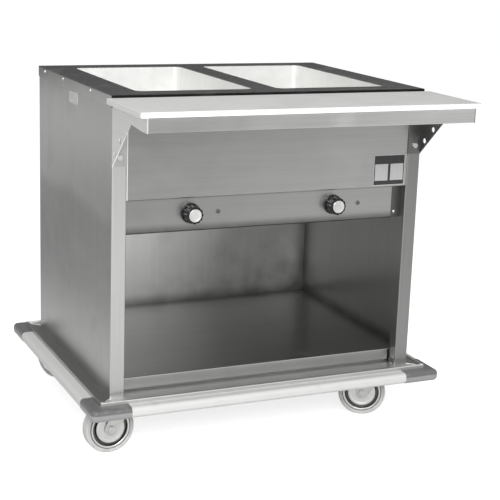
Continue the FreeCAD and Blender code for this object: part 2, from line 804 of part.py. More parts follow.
def bracket(side):
    """Gusset flush with the cabinet's side, flanged on the post and under the shelf."""
    inner, outer = half_width - bracket_plate, half_width
    under_shelf = shelf_top - sheet
    foot, waist = bracket_slope()
    nose_y = shelf_front
    post_top = top_z - bracket_post_top
    back = -rim_outer - fit
    outline = [(0, post_top), foot, waist, (nose_y + bracket_nose, lip_bottom),
               (nose_y, lip_bottom), (nose_y, shelf_top), (back, shelf_top), (back, post_top)]
    rounds = [0, 0, bracket_waist_round, bracket_waist_round, bracket_tip_round, 0, 0, 0]
    plate = prism("yz", inner, outer, outline, rounds)
    post_flange = block(half_width - post_face, outer, -bracket_plate, 0, foot[1], post_top)
    top = block(inner - bracket_top_flange, inner, nose_y + shelf_hem + 2 * bend,
                back, under_shelf - bracket_plate, under_shelf)
    piece = joined(plate, post_flange, top)
    holes = [rod(bracket_hole_diameter / 2, (inner - bracket_plate, y, z),
                 (outer + bracket_plate, y, z)) for y, z in bracket_hole_places()]
    piece = piece.cut(holes)
    piece = handed(piece, side)
    bolt_holes = [bolt_hole(point, Y, bracket_plate + sheet) for point in bracket_bolt_places(side)]
    return piece.cut(bolt_holes)


# ---------------------------------------------------------------- base
def rail_section():
    """Outline of a base rail as (distance out from the cabinet's face, z)."""
    web_low = base_top - rail_web
    bead_in = deck_reach - bead_width
    return [(-deck_inset, base_top - deck), (deck_reach - deck, base_top - deck),
            (deck_reach - deck, web_low), (deck_reach, web_low), (deck_reach, base_top + bead_height),
            (bead_in, base_top + bead_height), (bead_in, base_top), (-deck_inset, base_top)]


def base_rail(name):
    """One mitred side of the base: deck, raised bead and outer web."""
    section = rail_section()
    soft = [0, 0, 0, 0, bead_round, bead_round, 0, 0]
    if name in MIRROR:
        side = MIRROR[name]
        points = [(half_width + out, z) for out, z in section]
        rail = prism("xz", rail_front, rail_back, points, soft)
        corner = rail_half_x - rail_width
        wedge = [(rail_half_x, rail_front), (rail_half_x, rail_back),
                 (corner, rail_back - rail_width), (corner, rail_front + rail_width)]
        wedge = prism("xy", 0, 2 * base_top, wedge)
        rail = rail.common(wedge)
        return rail if side > 0 else rail.mirror(Vector(0, 0, 0), X)
    face, sign = (0, -1) if name == "front" else (cabinet_depth, 1)
    points = [(face + sign * out, z) for out, z in section]
    rail = prism("yz", -rail_half_x, rail_half_x, points, soft)
    outer = face + sign * deck_reach
    inner = outer - sign * rail_width
    wedge = [(-rail_half_x, outer), (rail_half_x, outer),
             (rail_half_x - rail_width, inner), (-rail_half_x + rail_width, inner)]
    return rail.common(prism("xy", 0, 2 * base_top, wedge))


def bumper_section():
    """Outline of the bumper as (distance out from the rail's web, z), and its roundings."""
    low = bumper_top - bumper_height
    section = [(0, low), (bumper_depth, low), (bumper_depth, bumper_top), (0, bumper_top)]
    return section, [0, bumper_round, bumper_round, 0]


def bumper(name):
    """Straight vinyl strip on one side of the base, between two corner pieces."""
    section, soft = bumper_section()
    end_x = rail_half_x - corner_leg
    if name in MIRROR:
        points = [(rail_half_x + out, z) for out, z in section]
        strip = prism("xz", rail_front + corner_leg, rail_back - corner_leg, points, soft)
        return handed(strip, name)
    face, sign = (rail_front, -1) if name == "front" else (rail_back, 1)
    points = [(face + sign * out, z) for out, z in section]
    return prism("yz", -end_x, end_x, points, soft)


def bumper_corner(side, end):
    """Moulded corner: two legs round the rail's corner, with soft outer edges."""
    depth = bumper_depth + corner_extra
    plan = [(0, 0), (0, corner_leg), (depth, corner_leg), (depth, -depth), (-corner_leg, -depth),
            (-corner_leg, 0)]
    corner = prism("xy", bumper_top - bumper_height - corner_extra, bumper_top + corner_extra,
                   plan, [0, 0, 0, corner_round, 0, 0])
    outer = [edge for edge in corner.Edges if edge.BoundBox.ZLength < bend
             and max(edge.CenterOfMass.x, -edge.CenterOfMass.y) > depth - corner_round / 2]
    corner = corner.makeFillet(bumper_round, outer)
    corner.translate(Vector(rail_half_x, rail_front, 0))
    corner = handed(corner, side)
    if end == "rear":
        corner = corner.mirror(Vector(0, cabinet_depth / 2, 0), Y)
    return corner


# ---------------------------------------------------------------- casters
def caster_stud_places(place):
    """Where the four studs leave the underside of a caster's plate."""
    return [(place[0] + dx * bolt_spacing_x / 2, place[1] + dy * bolt_spacing_y / 2,
             caster_height - plate_thickness) for dx in (-1, 1) for dy in (-1, 1)]


def caster_plate(place):
    """Top plate with its ball race housing and riveted king pin."""
    x, y = place
    low = caster_height - plate_thickness
    plate = rounded_rectangle(place, plate_length, plate_width, plate_corner,
                              low, caster_height)
    race_low = low - race_height
    race = turned([(0, race_low), (race_radius - race_taper, race_low),
                   (race_radius, race_low + race_shoulder), (race_radius, low), (0, low)],
                  (x, y, 0), Z)
    head_top = crown_top - crown_thickness - race_gap
    pin = rod(king_pin_radius, (x, y, low), (x, y, head_top - king_pin_head))
    head = rod(king_pin_head_radius, (x, y, head_top), (x, y, head_top - king_pin_head))
    body = joined(plate, race, pin, head)
    return body.cut([bolt_hole(point, Z, plate_thickness) for point in caster_stud_places(place)])


def caster_stud(point):
    """A stud welded under the deck, through a caster's plate, and its nut."""
    down = (0, 0, -1)
    nut_end = along(point, down, nut_height)
    stud = rod(bolt_diameter / 2, along(point, down, -plate_thickness),
               along(nut_end, down, bolt_diameter / 4))
    nut = hexagon(bolt_head_across, nut_end, point)
    return [stud, nut.cut(rod(bolt_diameter / 2 + push_fit, nut_end, point))]


def fork_leg(x, y, inner):
    """One leg of the fork, from the crown down to the axle's eye."""
    axle = Vector(x - swivel_lead, inner, wheel_radius)
    top = crown_top
    eye = rod(fork_eye_radius, tuple(axle), tuple(axle + Y * fork_plate))
    low = [(axle.x + fork_eye_radius * math.cos(math.radians(angle)),
            axle.z + fork_eye_radius * math.sin(math.radians(angle)))
           for angle in (fork_edge_front, fork_edge_rear)]
    outline = low + [(x + fork_rear_reach, top), (x - fork_front_reach, top)]
    leg = prism("xz", inner, inner + fork_plate, outline, [0, 0, fork_shoulder, 0])
    return leg.fuse(eye).removeSplitter()


def caster_fork(place):
    """Fork of pressed steel with its crown, turning under the plate."""
    x, y = place
    low = crown_top - crown_thickness
    crown = rod(crown_radius, (x, y, low), (x, y, crown_top))
    bridge = block(x - fork_front_reach, x + fork_rear_reach - fork_shoulder,
                   y - leg_inner, y + leg_inner, low, crown_top)
    legs = [fork_leg(x, y, y + leg_inner), fork_leg(x, y, y - leg_inner - fork_plate)]
    body = joined(crown, bridge, *legs)
    axle_x = x - swivel_lead
    holes = [rod(king_pin_radius + running_fit, (x, y, low - past), (x, y, crown_top + past)),
             rod(axle_diameter / 2 + push_fit, (axle_x, y - 2 * leg_inner, wheel_radius),
                 (axle_x, y + 2 * leg_inner, wheel_radius))]
    return body.cut(holes)


def caster_axle(place):
    """Axle bolt through both legs, and its nut."""
    x, y = place
    outer = leg_inner + fork_plate
    axle_x = x - swivel_lead
    head_face = (axle_x, y - outer, wheel_radius)
    nut_face = (axle_x, y + outer, wheel_radius)
    head_end = along(head_face, (0, -1, 0), bolt_head_height)
    head = hexagon(axle_head_across, head_end, head_face)
    end = along(nut_face, (0, 1, 0), nut_height + axle_end)
    shank = rod(axle_diameter / 2, head_face, end)
    nut_end = along(nut_face, (0, 1, 0), nut_height)
    nut = hexagon(axle_head_across, nut_face, nut_end)
    nut_bore = rod(axle_diameter / 2 + push_fit, nut_face, nut_end)
    return [joined(head, shank), nut.cut(nut_bore)]


def wheel_centre(place):
    """Middle of a wheel that trails to the left."""
    return (place[0] - swivel_lead, place[1], wheel_radius)


def swivelled(name, *solids):
    """A caster's solids turned about its king pin, to where it stands at rest."""
    x, y = caster_places[name]
    turned_solids = [solid.copy() for solid in solids]
    for solid in turned_solids:
        solid.rotate(Vector(x, y, 0), Z, swivel_rest[name])
    return turned_solids


def caster_tyre(place):
    """Non-marking tyre with rounded shoulders."""
    half = tread_width / 2
    inner = wheel_radius - tread_depth
    wall = wheel_radius - 2 * tread_shoulder
    profile = [(inner, -half + sidewall_step), (wall, -half + sidewall_step),
               (wall + sidewall_step, -half), (wheel_radius - tread_shoulder, -half),
               (wheel_radius - tread_edge, -half + tread_edge),
               (wheel_radius, -half + tread_shoulder)]
    profile += [(radius, -height) for radius, height in reversed(profile)]
    return turned(profile, wheel_centre(place), Y)


def caster_hub(place):
    """Wheel core: hub, bright flat discs, a groove and the rim under the tyre."""
    bore = axle_diameter / 2 + running_fit
    rim = wheel_radius - tread_depth
    half = tread_width / 2
    boss = bore + boss_wall
    disc = half + disc_stand
    floor = half - groove_depth
    profile = [(bore, -hub_half), (boss, -hub_half), (boss + boss_taper, -disc),
               (disc_radius - disc_edge, -disc), (disc_radius, -disc + disc_edge),
               (disc_radius + groove_taper, -floor), (groove_radius - groove_taper, -floor),
               (groove_radius, -half), (rim, -half)]
    profile += [(radius, -height) for radius, height in reversed(profile)]
    return turned(profile, wheel_centre(place), Y)


# ---------------------------------------------------------------- small fittings
def info_plate():
    """Bare plate on the apron, lower right."""
    width, height = plate_size
    x = opening_half - plate_margin
    z = panel_top + plate_lift
    return block(x - width, x, apron_recess - label_thickness, apron_recess,
                 z - height / 2, z + height / 2)


def side_tag():
    """Bare tag on the left side, under the rim."""
    length, height = tag_size
    z = top_z - tag_drop
    return block(-half_width - label_thickness, -half_width, tag_centre_y - length / 2,
                 tag_centre_y + length / 2, z - height / 2, z + height / 2)


def cord_gland():
    """Supply gland on the back panel: hexagon, domed nut and tail, with its bore."""
    z = top_z - gland_drop
    face = (gland_x, back_face, z)
    collar_end = along(face, (0, 1, 0), gland_nut_height)
    dome_end = along(collar_end, (0, 1, 0), gland_dome_height)
    tail_end = along(face, (0, -1, 0), sheet + gland_tail)
    collar = hexagon(gland_nut_across, face, collar_end)
    dome = turned([(0, 0), (gland_dome_radius, 0), (gland_dome_radius, gland_dome_straight),
                   (gland_mouth_radius, gland_dome_height), (0, gland_dome_height)],
                  collar_end, Y)
    tail = rod(gland_thread_radius, tail_end, face)
    bore = rod(gland_bore_radius, along(tail_end, (0, -1, 0), past),
               along(dome_end, (0, 1, 0), past))
    return joined(collar, dome, tail).cut(bore)


# ---------------------------------------------------------------- the whole trolley
def write_cabinet():
    for side in MIRROR:
        write("side_panel_" + side, side_panel(side))
        write("bracket_" + side, bracket(side))
    write("back_panel", back_panel())
    write("bottom_shelf", bottom_shelf())
    write("compartment_ceiling", compartment_ceiling())
    write("front_apron", front_apron())
    write("control_panel", control_panel())
    write("panel_end_strip", panel_end_strip())
    write("control_box", control_box())
    write("top_sheet", top_sheet())
    write("board_shelf", board_shelf())
    write("board_studs", *[board_stud(x, y) for x, y in stud_places()])
    write("cutting_board", cutting_board())
    write("info_plate", info_plate())
    write("side_tag", side_tag())
    write("cord_gland", cord_gland())


def write_wells():
    for side, x in zip(MIRROR, well_centres):
        write("well_liner_" + side, well_liner(x))
        write("heating_element_" + side, heating_element(x))
    write("well_insulation", *[well_insulation(x) for x in well_centres])
    write("element_trays", *[element_tray(x) for x in well_centres])


def write_controls():
    for side, x in knob_places.items():
        write("heat_control_" + side, heat_control(x))
        write("knob_shaft_" + side, knob_shaft(x))
        write("knob_" + side, knob(x))
        write("knob_cap_" + side, knob_cap(x))
    lamps = [x + lamp_offset for x in knob_places.values()]
    write("lamp_lenses", *[lamp_lens(x) for x in lamps])
    write("lamp_bezels", *[lamp_bezel(x) for x in lamps])


def write_fasteners():
    write("rim_screws", *[screw(point, inward) for point, inward in rim_screw_places()])
    write("end_strip_screw", screw(end_screw_place(), (0, 1, 0)))
    bolts = []
    for side in MIRROR:
        for point in bracket_bolt_places(side):
            bolts += bolt_and_nut(point, (0, 1, 0), bracket_plate + sheet)
    write("bracket_bolts", *bolts)
    studs = []
    for place in caster_places.values():
        for point in caster_stud_places(place):
            studs += caster_stud(point)
    write("caster_studs", *studs)


def write_base():
    for name in ("front", "back", "left", "right"):
        write("base_rail_" + name, base_rail(name))
        write("bumper_" + name, bumper(name))
    write("bumper_corners", *[bumper_corner(side, end) for side in MIRROR
                              for end in ("front", "rear")])
    write("caster_plates", *[caster_plate(place) for place in caster_places.values()])
    for name, place in caster_places.items():
        write("caster_fork_" + name, *swivelled(name, caster_fork(place), *caster_axle(place)))
        write("caster_tyre_" + name, *swivelled(name, caster_tyre(place)))
        write("caster_hub_" + name, *swivelled(name, caster_hub(place)))


def main():
    os.makedirs("parts", exist_ok=True)
    write_cabinet()
    write_wells()
    write_controls()
    write_fasteners()
    write_base()


main()
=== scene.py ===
import json
import math

import bmesh
import bpy
import numpy as np
from mathutils import Matrix, Vector


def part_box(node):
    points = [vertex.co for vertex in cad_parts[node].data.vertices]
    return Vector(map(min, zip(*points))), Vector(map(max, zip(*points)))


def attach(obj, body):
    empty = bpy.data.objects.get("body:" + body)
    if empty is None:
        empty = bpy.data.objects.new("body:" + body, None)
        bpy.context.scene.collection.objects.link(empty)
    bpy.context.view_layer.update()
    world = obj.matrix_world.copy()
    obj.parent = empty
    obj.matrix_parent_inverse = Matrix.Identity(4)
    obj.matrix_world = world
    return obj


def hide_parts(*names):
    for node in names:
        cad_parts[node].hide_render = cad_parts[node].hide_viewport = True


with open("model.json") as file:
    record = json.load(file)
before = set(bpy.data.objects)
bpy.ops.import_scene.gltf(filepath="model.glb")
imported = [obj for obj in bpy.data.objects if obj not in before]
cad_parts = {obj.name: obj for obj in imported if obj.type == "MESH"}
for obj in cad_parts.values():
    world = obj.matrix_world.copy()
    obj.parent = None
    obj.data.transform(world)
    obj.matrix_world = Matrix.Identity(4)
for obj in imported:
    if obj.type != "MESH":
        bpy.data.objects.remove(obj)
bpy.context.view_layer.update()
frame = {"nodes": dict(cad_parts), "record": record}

# The looks of a mobile hot-food trolley: brushed stainless cabinet with two open pan wells,
# a white work board, a control band with two knobs, and a base with a vinyl bumper on casters.
# Metres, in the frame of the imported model: +X to the user's right, the user stands at -Y, +Z up.

NODES = frame["nodes"]
BODY_OF = {node: body for body, members in frame["record"]["behaviour"]["bodies"].items()
           for node in members}
JOINTS = {row["name"]: row for row in frame["record"]["behaviour"]["joints"]}
CORNERS = ("front_left", "front_right", "rear_left", "rear_right")
MM = 0.001
X, Y, Z = np.eye(3)
ACROSS, DEEP, UP = 0, 1, 2      # a sheet's or a strip's grain axis
TOUCHING = 0.002 * MM           # points nearer than this are one
CREASE = math.radians(35)       # edges sharper than this stay sharp


# ---------------------------------------------------------------- shader maths
class Socket:
    """An output of a shader node, on which Python's operators add Math nodes to its tree."""

    def __init__(self, tree, link):
        self.tree = tree
        self.link = link

    def math(self, operation, *values):
        return self.tree.node("ShaderNodeMath", {"operation": operation}, (self,) + values)

    def __add__(self, other):
        return self.math("ADD", other)

    __radd__ = __add__

    def __mul__(self, other):
        return self.math("MULTIPLY", other)

    __rmul__ = __mul__

    def __sub__(self, other):
        return self.math("SUBTRACT", other)

    def __rsub__(self, other):
        return self.tree.node("ShaderNodeMath", {"operation": "SUBTRACT"}, (other, self))

    def __gt__(self, other):
        return self.math("GREATER_THAN", other)

    def __lt__(self, other):
        return self.math("LESS_THAN", other)

    def ramp(self, low, high):
        """0 below one value, 1 above the other, smooth between them."""
        settings = {"interpolation_type": "SMOOTHSTEP"}
        return self.tree.node("ShaderNodeMapRange", settings, {0: self, 1: low, 2: high})


class NodeTree:
    """A node tree being filled, whose values are Sockets."""

    def __init__(self, tree):
        self.tree = tree

    def node(self, kind, settings=None, inputs=None, output=0):
        """Adds a node of a type with its settings, then the values or links of its sockets."""
        made = self.tree.nodes.new(kind)
        for key, value in (settings or {}).items():
            setattr(made, key, value)
        rows = inputs.items() if isinstance(inputs, dict) else enumerate(inputs or ())
        for key, value in rows:
            self.join(made.inputs[key], value)
        return Socket(self, made.outputs[output])

    def join(self, socket, value):
        """Links a Socket to an input, or sets the input's own value."""
        if isinstance(value, Socket):
            self.tree.links.new(value.link, socket)
        else:
            socket.default_value = value

    def place(self, scale=(1, 1, 1), turn=(0, 0, 0), centre=(0, 0, 0)):
        """The object's coordinates from a centre, turned, then scaled."""
        point = self.node("ShaderNodeTexCoord", output="Object")
        if any(centre):
            shift = {"Vector": point, "Location": tuple(-c for c in centre)}
            point = self.node("ShaderNodeMapping", inputs=shift)
        if any(turn):
            point = self.node("ShaderNodeMapping", inputs={"Vector": point, "Rotation": turn})
        return self.node("ShaderNodeMapping", inputs={"Vector": point, "Scale": scale})

    def axes(self, **where):
        """The three object coordinates as separate numbers."""
        split = self.node("ShaderNodeSeparateXYZ", inputs=[self.place(**where)])
        outputs = split.link.node.outputs
        return [Socket(self, outputs[axis]) for axis in range(3)]

    def noise(self, scale, detail=2.0, **where):
        """Noise between 0 and 1 whose features are 1 / scale metres wide along each axis."""
        spread = scale if isinstance(scale, tuple) else (scale, scale, scale)
        inputs = {"Vector": self.place(spread, **where), "Scale": 1.0, "Detail": detail}
        return self.node("ShaderNodeTexNoise", inputs=inputs)

    def rings(self, radius, scale, detail=2.0):
        """Noise between 0 and 1 that changes only with a radius."""
        inputs = {"W": radius * scale, "Scale": 1.0, "Detail": detail}
        return self.node("ShaderNodeTexNoise", {"noise_dimensions": "1D"}, inputs)

    def radius(self, centre, turn=0.0):
        """Distance from an axis through a centre: the Y axis, turned about Z."""
        across, _, up = self.axes(centre=tuple(centre), turn=(0, 0, -turn))
        return (across * across + up * up).math("SQRT")

    def mix(self, factor, first, second):
        """One colour where the factor is 0, another where it is 1."""
        inputs = {0: factor, 6: rgba(first), 7: rgba(second)}
        return self.node("ShaderNodeMix", {"data_type": "RGBA"}, inputs, output=2)

    def seen(self, *rays):
        """1 for any of the named kinds of ray, such as Camera or Glossy."""
        outputs = self.node("ShaderNodeLightPath").link.node.outputs
        kinds = [Socket(self, outputs[f"Is {ray} Ray"]) for ray in rays]
        seen = kinds[0]
        for kind in kinds[1:]:
            seen = seen.math("MAXIMUM", kind)
        return seen


class Finish(NodeTree):
    """A procedural material being built round its Principled shader."""

    def __init__(self, name, **constants):
        self.material = bpy.data.materials.new(name)
        self.material.use_nodes = True
        super().__init__(self.material.node_tree)
        self.shader = self.tree.nodes["Principled BSDF"]
        for socket, value in constants.items():
            self.put(socket.replace("_", " "), value)

    def put(self, socket, value):
        """Sets or links an input of the Principled shader."""
        self.join(self.shader.inputs[socket], value)

    def bump(self, height, distance, strength=1.0):
        """Feeds the Normal from a height between 0 and 1 that stands for a distance in metres."""
        inputs = {"Strength": strength, "Distance": distance, "Height": height}
        self.put("Normal", self.node("ShaderNodeBump", inputs=inputs))


def rgba(colour):
    """A colour with its alpha, from a grey level, a triple or a socket."""
    if isinstance(colour, Socket):
        return colour
    if isinstance(colour, (int, float)):
        colour = (colour, colour, colour)
    return (*colour, 1.0)


def grey(level):
    """A neutral tone, very slightly warm."""
    return (level, level, level * 0.985)


def shade(tone, share):
    """A tone made darker or paler by a share."""
    return tuple(min(level * share, 1.0) for level in tone)


# ---------------------------------------------------------------- metal finishes
def brushed(name, level, grain, roughness=0.30, marks=()):
    """Brushed stainless sheet of a grey level: fine grain and longer streaks along one axis, over
    soft clouds and a few handling smudges. Each mark is a grey level and a function from the
    object coordinates to its strength there, such as painted shade, painted highlights and settled
    grime."""
    finish = Finish(name, Metallic=1.0)
    fine, streak = [620.0] * 3, [70.0] * 3
    fine[grain], streak[grain] = 5.0, 1.1
    grain_lines = finish.noise(tuple(fine), detail=3.0)
    streaks = finish.noise(tuple(streak), detail=3.0)
    clouds = finish.noise(2.6, detail=3.0)
    smudges = finish.noise(11.0, detail=4.0).ramp(0.56, 0.74)
    light = 0.42 * grain_lines + 0.28 * streaks + 0.30 * clouds
    tone = grey(level)
    colour = finish.mix(light.ramp(0.34, 0.66), shade(tone, 0.945), shade(tone, 1.055))
    if marks:
        patchy = 0.75 + 0.5 * finish.noise(14.0, detail=5.0)
    for mark_level, strength in marks:
        colour = finish.mix(strength(*finish.axes()) * patchy, colour, grey(mark_level))
    finish.put("Base Color", colour)
    finish.put("Roughness", roughness - 0.05 + 0.12 * grain_lines + 0.07 * smudges)
    finish.bump(0.8 * grain_lines + 0.2 * streaks, 0.05 * MM, 0.3)
    return finish.material


def plated(name, tone, roughness=0.34):
    """Zinc-plated pressed steel: soft blotches and small pits, with no grain."""
    finish = Finish(name, Metallic=1.0)
    blotches = finish.noise(38.0, detail=5.0)
    pits = finish.noise(420.0)
    finish.put("Base Color", finish.mix(blotches.ramp(0.35, 0.65), shade(tone, 0.80), tone))
    finish.put("Roughness", roughness - 0.06 + 0.16 * blotches)
    finish.bump(pits, 0.05 * MM, 0.4)
    return finish.material


def galvanised(name, tone):
    """Bright galvanised sheet: faint crystal patches over clouds."""
    finish = Finish(name, Metallic=0.5)
    place = finish.place((52.0, 52.0, 52.0))
    crystals = finish.node("ShaderNodeTexVoronoi", inputs={"Vector": place, "Scale": 1.0},
                           output="Color")
    facet = finish.node("ShaderNodeSeparateColor", inputs=[crystals])
    clouds = finish.noise(7.0, detail=3.0)
    light = 0.15 * facet + 0.85 * clouds
    finish.put("Base Color", finish.mix(light.ramp(0.30, 0.70), shade(tone, 0.93), tone))
    finish.put("Roughness", 0.40 + 0.10 * facet)
    finish.bump(finish.noise(260.0), 0.05 * MM, 0.3)
    return finish.material


def spun(name, tone, centre, turn=0.0, roughness=0.22, ring=900.0, grime_and_shade_bands=()):
    """Metal turned on a lathe whose axis is Y, turned about Z: fine rings round a centre, and
    grime with painted shade between each pair of radii."""
    finish = Finish(name, Metallic=1.0)
    radius = finish.radius(centre, turn)
    rings = finish.rings(radius, ring)
    clouds = finish.noise(60.0)
    colour = finish.mix((0.6 * rings + 0.4 * clouds).ramp(0.3, 0.7), shade(tone, 0.84), tone)
    soft_edge = 0.7 * MM
    for inner, outer in grime_and_shade_bands:
        band = radius.ramp(inner - soft_edge, inner) * (1 - radius.ramp(outer, outer + soft_edge))
        # each band darkened: grime with painted shade
        colour = finish.mix(band * 0.92, colour, (0.055, 0.053, 0.05))
    finish.put("Base Color", colour)
    finish.put("Roughness", roughness + 0.14 * rings)
    finish.bump(rings, 0.04 * MM, 0.5)
    return finish.material


def heated_sheath(name):
    """Element sheath, darkened and tinted by heat in broad patches."""
    finish = Finish(name, Metallic=1.0)
    patches = finish.noise(16.0, detail=3.0)
    burnt, straw = (0.10, 0.085, 0.075), (0.30, 0.23, 0.17)
    finish.put("Base Color", finish.mix(patches.ramp(0.4, 0.62), burnt, straw))
    finish.put("Roughness", 0.42 + 0.2 * patches)
    finish.bump(finish.noise(300.0), 0.05 * MM, 0.5)
    return finish.material


# ---------------------------------------------------------------- plastics, rubber, fibre
def board_plastic(name):
    """White polyethylene: its face cut by shallow knife strokes in three directions and matt
    between them, its front edge paler with a painted highlight."""
    finish = Finish(name, Specular_IOR_Level=0.35)
    low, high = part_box("cutting_board")
    _, depth, height = finish.axes()
    cuts = 0.0
    for turn in (0.35, 1.25, 2.4):
        lines = finish.noise((6.0, 420.0, 40.0), detail=1.0, turn=(0, 0, turn))
        cuts = lines.ramp(0.67, 0.73).math("MAXIMUM", cuts)
    cuts = cuts * (height > high.z - 1.0 * MM)
    # painted highlight along the board's front edge
    edge = 1 - depth.ramp(low.y + 1.0 * MM, low.y + 2.5 * MM)
    patches = finish.noise(5.0, detail=4.0)
    wear_and_edge_highlight = finish.mix(patches.ramp(0.42, 0.68), (0.70, 0.70, 0.685), (0.64, 0.64, 0.625))
    wear_and_edge_highlight = finish.mix(edge, wear_and_edge_highlight, (0.88, 0.88, 0.87))
    finish.put("Base Color", finish.mix(cuts * 0.5, wear_and_edge_highlight, (0.54, 0.54, 0.52)))
    finish.put("Roughness", 0.46 + 0.10 * patches)
    finish.bump(finish.noise(500.0) * 0.25 - cuts, 0.12 * MM, 0.35)
    return finish.material


def vinyl(name, tone, along, scuff):
    """Extruded vinyl: faint die lines along the strip, with darker scuffs."""
    finish = Finish(name, Specular_IOR_Level=0.45)
    lines = [500.0] * 3
    lines[along] = 2.0
    die_lines = finish.noise(tuple(lines))
    scuffs = finish.noise((23.0, 23.0, 60.0), detail=5.0).ramp(0.57, 0.74)
    colour = finish.mix(die_lines, shade(tone, 0.93), tone)
    finish.put("Base Color", finish.mix(scuffs * scuff, colour, shade(tone, 0.55)))
    finish.put("Roughness", 0.40 + 0.14 * die_lines + 0.1 * scuffs)
    finish.bump(die_lines, 0.10 * MM, 0.3)
    return finish.material


def pebbled(name, tone, grain=700.0, roughness=0.5, gloss=0.4):
    """Moulded plastic or rubber with a fine grain and slight mottling."""
    finish = Finish(name, Specular_IOR_Level=gloss)
    texture = finish.noise(grain)
    mottle = finish.noise(24.0, detail=4.0)
    light = 0.3 * texture + 0.7 * mottle
    finish.put("Base Color", finish.mix(light.ramp(0.32, 0.68), shade(tone, 0.80), tone))
    finish.put("Roughness", roughness - 0.06 + 0.14 * mottle)
    finish.bump(texture, 0.08 * MM, 0.45)
    return finish.material


def tread_rubber(name, centre, turn):
    """Pale grey wheel rubber: dusty tread, faint moulding rings on the sidewalls, and a dark
    line where it meets the wheel's rim."""
    finish = Finish(name, Specular_IOR_Level=0.3)
    radius = finish.radius(centre, turn)
    rings = finish.rings(radius, 700.0, detail=1.0)
    dust = finish.noise(46.0, detail=5.0).ramp(0.45, 0.72)
    pale = finish.mix(dust, (0.66, 0.66, 0.65), (0.56, 0.555, 0.54))
    seam = 1 - radius.ramp(52.6 * MM, 53.6 * MM)
    finish.put("Base Color", finish.mix(seam, pale, (0.06, 0.06, 0.058)))
    finish.put("Roughness", 0.55 + 0.2 * dust)
    finish.bump(0.5 * rings + 0.5 * finish.noise(380.0), 0.10 * MM, 0.5)
    return finish.material


def knob_black(name):
    """Black phenolic, rubbed grey on its ribs."""
    finish = Finish(name, Specular_IOR_Level=0.32)
    wear = finish.noise(160.0, detail=4.0).ramp(0.52, 0.75)
    mottle = finish.noise(45.0, detail=3.0)
    dark = finish.mix(mottle, (0.006, 0.006, 0.006), (0.014, 0.014, 0.014))
    finish.put("Base Color", finish.mix(wear * 0.5, dark, (0.045, 0.045, 0.047)))
    finish.put("Roughness", 0.26 + 0.22 * wear)
    finish.bump(finish.noise(600.0), 0.04 * MM, 0.4)
    return finish.material


def lit_below_vinyl(name, upper, lower, split):
    """Moulded vinyl, dark above a height and paler below it as a painted highlight, scuffed and
    finely grained.
    """
    finish = Finish(name, Specular_IOR_Level=0.45)
    texture = finish.noise(420.0)
    scuffs = finish.noise((30.0, 30.0, 90.0), detail=5.0).ramp(0.52, 0.76)
    _, _, height = finish.axes()
    step = (height + 1.2 * MM * finish.noise(60.0)).ramp(split - 1.5 * MM, split + 2.5 * MM)
    # paler below the split: painted highlight of light reflected from below
    colour = finish.mix(step, lower, upper)
    finish.put("Base Color", finish.mix(scuffs * 0.35, colour, lower * 1.25))
    finish.put("Roughness", 0.38 + 0.16 * scuffs)
    finish.bump(texture, 0.08 * MM, 0.45)
    return finish.material


def lens_plastic(name):
    """Smoky red pilot lens with fine facets moulded behind its dome."""
    finish = Finish(name, Coat_Weight=0.6, Coat_Roughness=0.05)
    facets = finish.noise(900.0, detail=1.0)
    finish.put("Base Color", finish.mix(facets, (0.055, 0.032, 0.029), (0.110, 0.062, 0.056)))
    finish.put("Roughness", 0.12 + 0.1 * facets)
    finish.bump(facets, 0.05 * MM, 0.4)
    return finish.material


def glass_fibre(name):
    """Yellowish felted glass fibre."""
    finish = Finish(name, Specular_IOR_Level=0.2)
    strands = finish.noise((90.0, 90.0, 900.0), detail=6.0)
    finish.put("Base Color", finish.mix(strands, (0.52, 0.42, 0.20), (0.84, 0.76, 0.50)))
    finish.put("Roughness", 0.85 + 0.1 * strands)
    finish.bump(strands, 0.8 * MM, 0.7)
    return finish.material


def bare_plate(name):
    """Thin plate on the apron, blank: a pale border round a dark field with two pale panels."""
    border, rib, margin, head, foot = np.array((2.0, 3.5, 4.5, 24.0, 13.0)) * MM
    finish = Finish(name, Metallic=0.25)
    low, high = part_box("info_plate")
    across, _, up = finish.axes(centre=tuple((low + high) / 2))
    half_x, half_z = (high.x - low.x) / 2, (high.z - low.z) / 2
    from_middle = across.math("ABSOLUTE")
    inside = (from_middle < half_x - border) * (up.math("ABSOLUTE") < half_z - border)
    beside_rib = (from_middle > rib) * (from_middle < half_x - margin)
    panels = beside_rib * (up < half_z - head) * (up > foot - half_z)
    grain = finish.noise((300.0, 300.0, 40.0), detail=3.0)
    pale = finish.mix(grain, 0.45, 0.54)
    field = finish.mix(panels, finish.mix(grain, 0.028, 0.045), pale)
    finish.put("Base Color", finish.mix(inside, pale, field))
    finish.put("Roughness", 0.38 + 0.1 * grain)
    finish.bump(panels, 0.05 * MM, 0.5)
    return finish.material


# ---------------------------------------------------------------- surfaces
def grid_faces(rows, columns, wrap):
    """Quads between the neighbouring rows and columns of a grid of points."""
    span = columns if wrap else columns - 1
    row, column = np.meshgrid(np.arange(rows - 1), np.arange(span), indexing="ij")
    following = (column + 1) % columns
    quads = np.stack([row * columns + column, row * columns + following,
                      (row + 1) * columns + following, (row + 1) * columns + column], -1)
    return quads.reshape(-1, 4)


def surface_mesh(name, surfaces):
    """One mesh from (points, quads) surfaces."""
    points, quads, count = [], [], 0
    for grid, faces in surfaces:
        flat = grid.reshape(-1, 3)
        points.append(flat)
        quads.append(faces + count)
        count += len(flat)
    mesh = bpy.data.meshes.new(name)
    mesh.from_pydata(np.concatenate(points).tolist(), [], np.concatenate(quads).tolist())
    return mesh


def build(name, surfaces, finish, replaced):
    """One piece from surfaces, which stands for CAD nodes and takes their body."""
    piece = finish_piece(name, surface_mesh(name, surfaces), finish, BODY_OF[replaced[0]])
    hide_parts(*replaced)
    return piece


